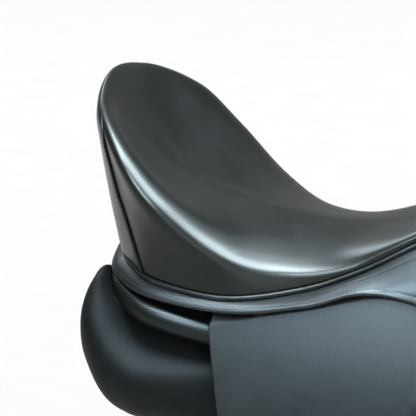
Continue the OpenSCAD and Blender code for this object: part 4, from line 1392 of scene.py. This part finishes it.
def lamp(name, place, aim, size, power, spread=180):
    data = bpy.data.lights.new(name, "AREA")
    data.shape, data.size, data.size_y = "RECTANGLE", size[0], size[1]
    data.energy, data.color, data.spread = power, LAMP_COLOUR, math.radians(spread)
    light = in_scene(name, data)
    light.location = place
    light.rotation_euler = (Vector(aim) - Vector(place)).to_track_quat("-Z", "Y").to_euler()
    light.visible_camera = False
    return light


def floor_finish(colour):
    material, tree, shader, place = new_material("studio_floor")
    speck = noise(tree, place, 30.0, 3.0)["Fac"]
    tree.links.new(mixed(tree, speck, shade(colour, 0.98), shade(colour, 1.02)), shader.inputs["Base Color"])
    shader.inputs["Roughness"].default_value = 0.9
    shader.inputs["Specular IOR Level"].default_value = 0.0
    return material


class SADDLE_OT_stage(bpy.types.Operator):
    """Floor, lamps, room light and the camera"""
    bl_idname = "saddle.stage"
    bl_label = "Stage"

    def execute(self, context):
        scene, plan = context.scene, context.scene.saddle_stage
        scene.view_settings.view_transform = "Standard"
        floor_z = CAD_BOX[0][2] - 0.001
        corners = [(x * FLOOR_HALF, y * FLOOR_HALF, floor_z) for x, y in ((-1, -1), (1, -1), (1, 1), (-1, 1))]
        mesh = bpy.data.meshes.new("floor")
        mesh.from_pydata(corners, [], [(0, 1, 2, 3)])
        mesh.materials.append(floor_finish(plan.floor))
        floor = in_scene("floor", mesh)
        world = bpy.data.worlds.new("room")
        world.use_nodes = True
        scene.world = world
        air = world.node_tree.nodes["Background"].inputs
        air["Color"].default_value, air["Strength"].default_value = (1, 1, 1, 1), plan.room
        lamp("top_lamp", (0, 0, 3.5), (0, 0, 0), (9, 9), plan.top, 50)
        for name, place, aim, size, power in (
                ("key_card", (0.52, -0.14, 1.12), (0.52, -0.14, 0), (1.65, 0.8), plan.key),
                ("wide_card", (0.2, -0.02, 1.15), (0.2, -0.02, 0), (2.0, 2.0), plan.wide),
                ("side_card", (-0.89, 0.85, 0.85), (0.03, -0.07, 0.1), (0.45, 0.45), plan.side),
                ("near_card", (-0.03, -0.48, 0.38), (0.08, -0.13, 0.04), (0.2, 0.2), plan.near)):
            card = lamp(name, place, aim, size, power)
            card.visible_diffuse, card.data.color = False, CARD_COLOUR
            CARDS.append(card)
        lamp("front_lamp", (0.45, -1.25, 0.12), (0.05, -0.16, 0.05), (0.7, 0.6), plan.front)
        lamp("back_lamp", (-0.6, 2.6, 0.6), (-0.2, 0, 0.1), (3, 1.6), plan.back)
        self.place_camera(scene)
        return {"FINISHED"}

    def place_camera(self, scene):
        data = bpy.data.cameras.new("camera")
        data.type, data.ortho_scale = "ORTHO", VIEW_WIDTH
        data.clip_start, data.clip_end = 0.01, 20
        camera = in_scene("camera", data)
        turn, tilt = math.radians(VIEW_AZIMUTH), math.radians(VIEW_ELEVATION)
        back = Vector((math.sin(turn) * math.cos(tilt), -math.cos(turn) * math.cos(tilt), math.sin(tilt)))
        camera.location = Vector(VIEW_MIDDLE) + back * 3
        camera.rotation_euler = (-back).to_track_quat("-Z", "Y").to_euler()
        scene.camera = camera


# The panel in the sidebar, and the run

OPERATORS = (SADDLE_OT_stage, SADDLE_OT_seat, SADDLE_OT_skirts, SADDLE_OT_panels, SADDLE_OT_flaps,
             SADDLE_OT_under_flaps, SADDLE_OT_straps, SADDLE_OT_webs, SADDLE_OT_head, SADDLE_OT_steel,
             SADDLE_OT_stitching)
SETTINGS = {"saddle_leather": SaddleLeather, "saddle_stitching": SaddleStitching, "saddle_stage": SaddleStage}


class SADDLE_PT_panel(bpy.types.Panel):
    """The saddle's settings and pieces"""
    bl_idname = "SADDLE_PT_panel"
    bl_label = "Dressage saddle"
    bl_space_type = "VIEW_3D"
    bl_region_type = "UI"
    bl_category = "Saddle"

    def draw(self, context):
        for name, kind in SETTINGS.items():
            column = self.layout.column(align=True)
            for value in kind.__annotations__:
                column.prop(getattr(context.scene, name), value)
        for operator in OPERATORS:
            self.layout.operator(operator.bl_idname)


def register():
    for kind in (*SETTINGS.values(), *OPERATORS, SADDLE_PT_panel):
        bpy.utils.register_class(kind)
    for name, kind in SETTINGS.items():
        setattr(bpy.types.Scene, name, bpy.props.PointerProperty(type=kind))


def unregister():
    for name in SETTINGS:
        delattr(bpy.types.Scene, name)
    for kind in (SADDLE_PT_panel, *reversed(OPERATORS), *SETTINGS.values()):
        bpy.utils.unregister_class(kind)


def main():
    register()
    for operator in OPERATORS:
        group, name = operator.bl_idname.split(".")
        getattr(getattr(bpy.ops, group), name)()


if __name__ == "__main__":
    main()
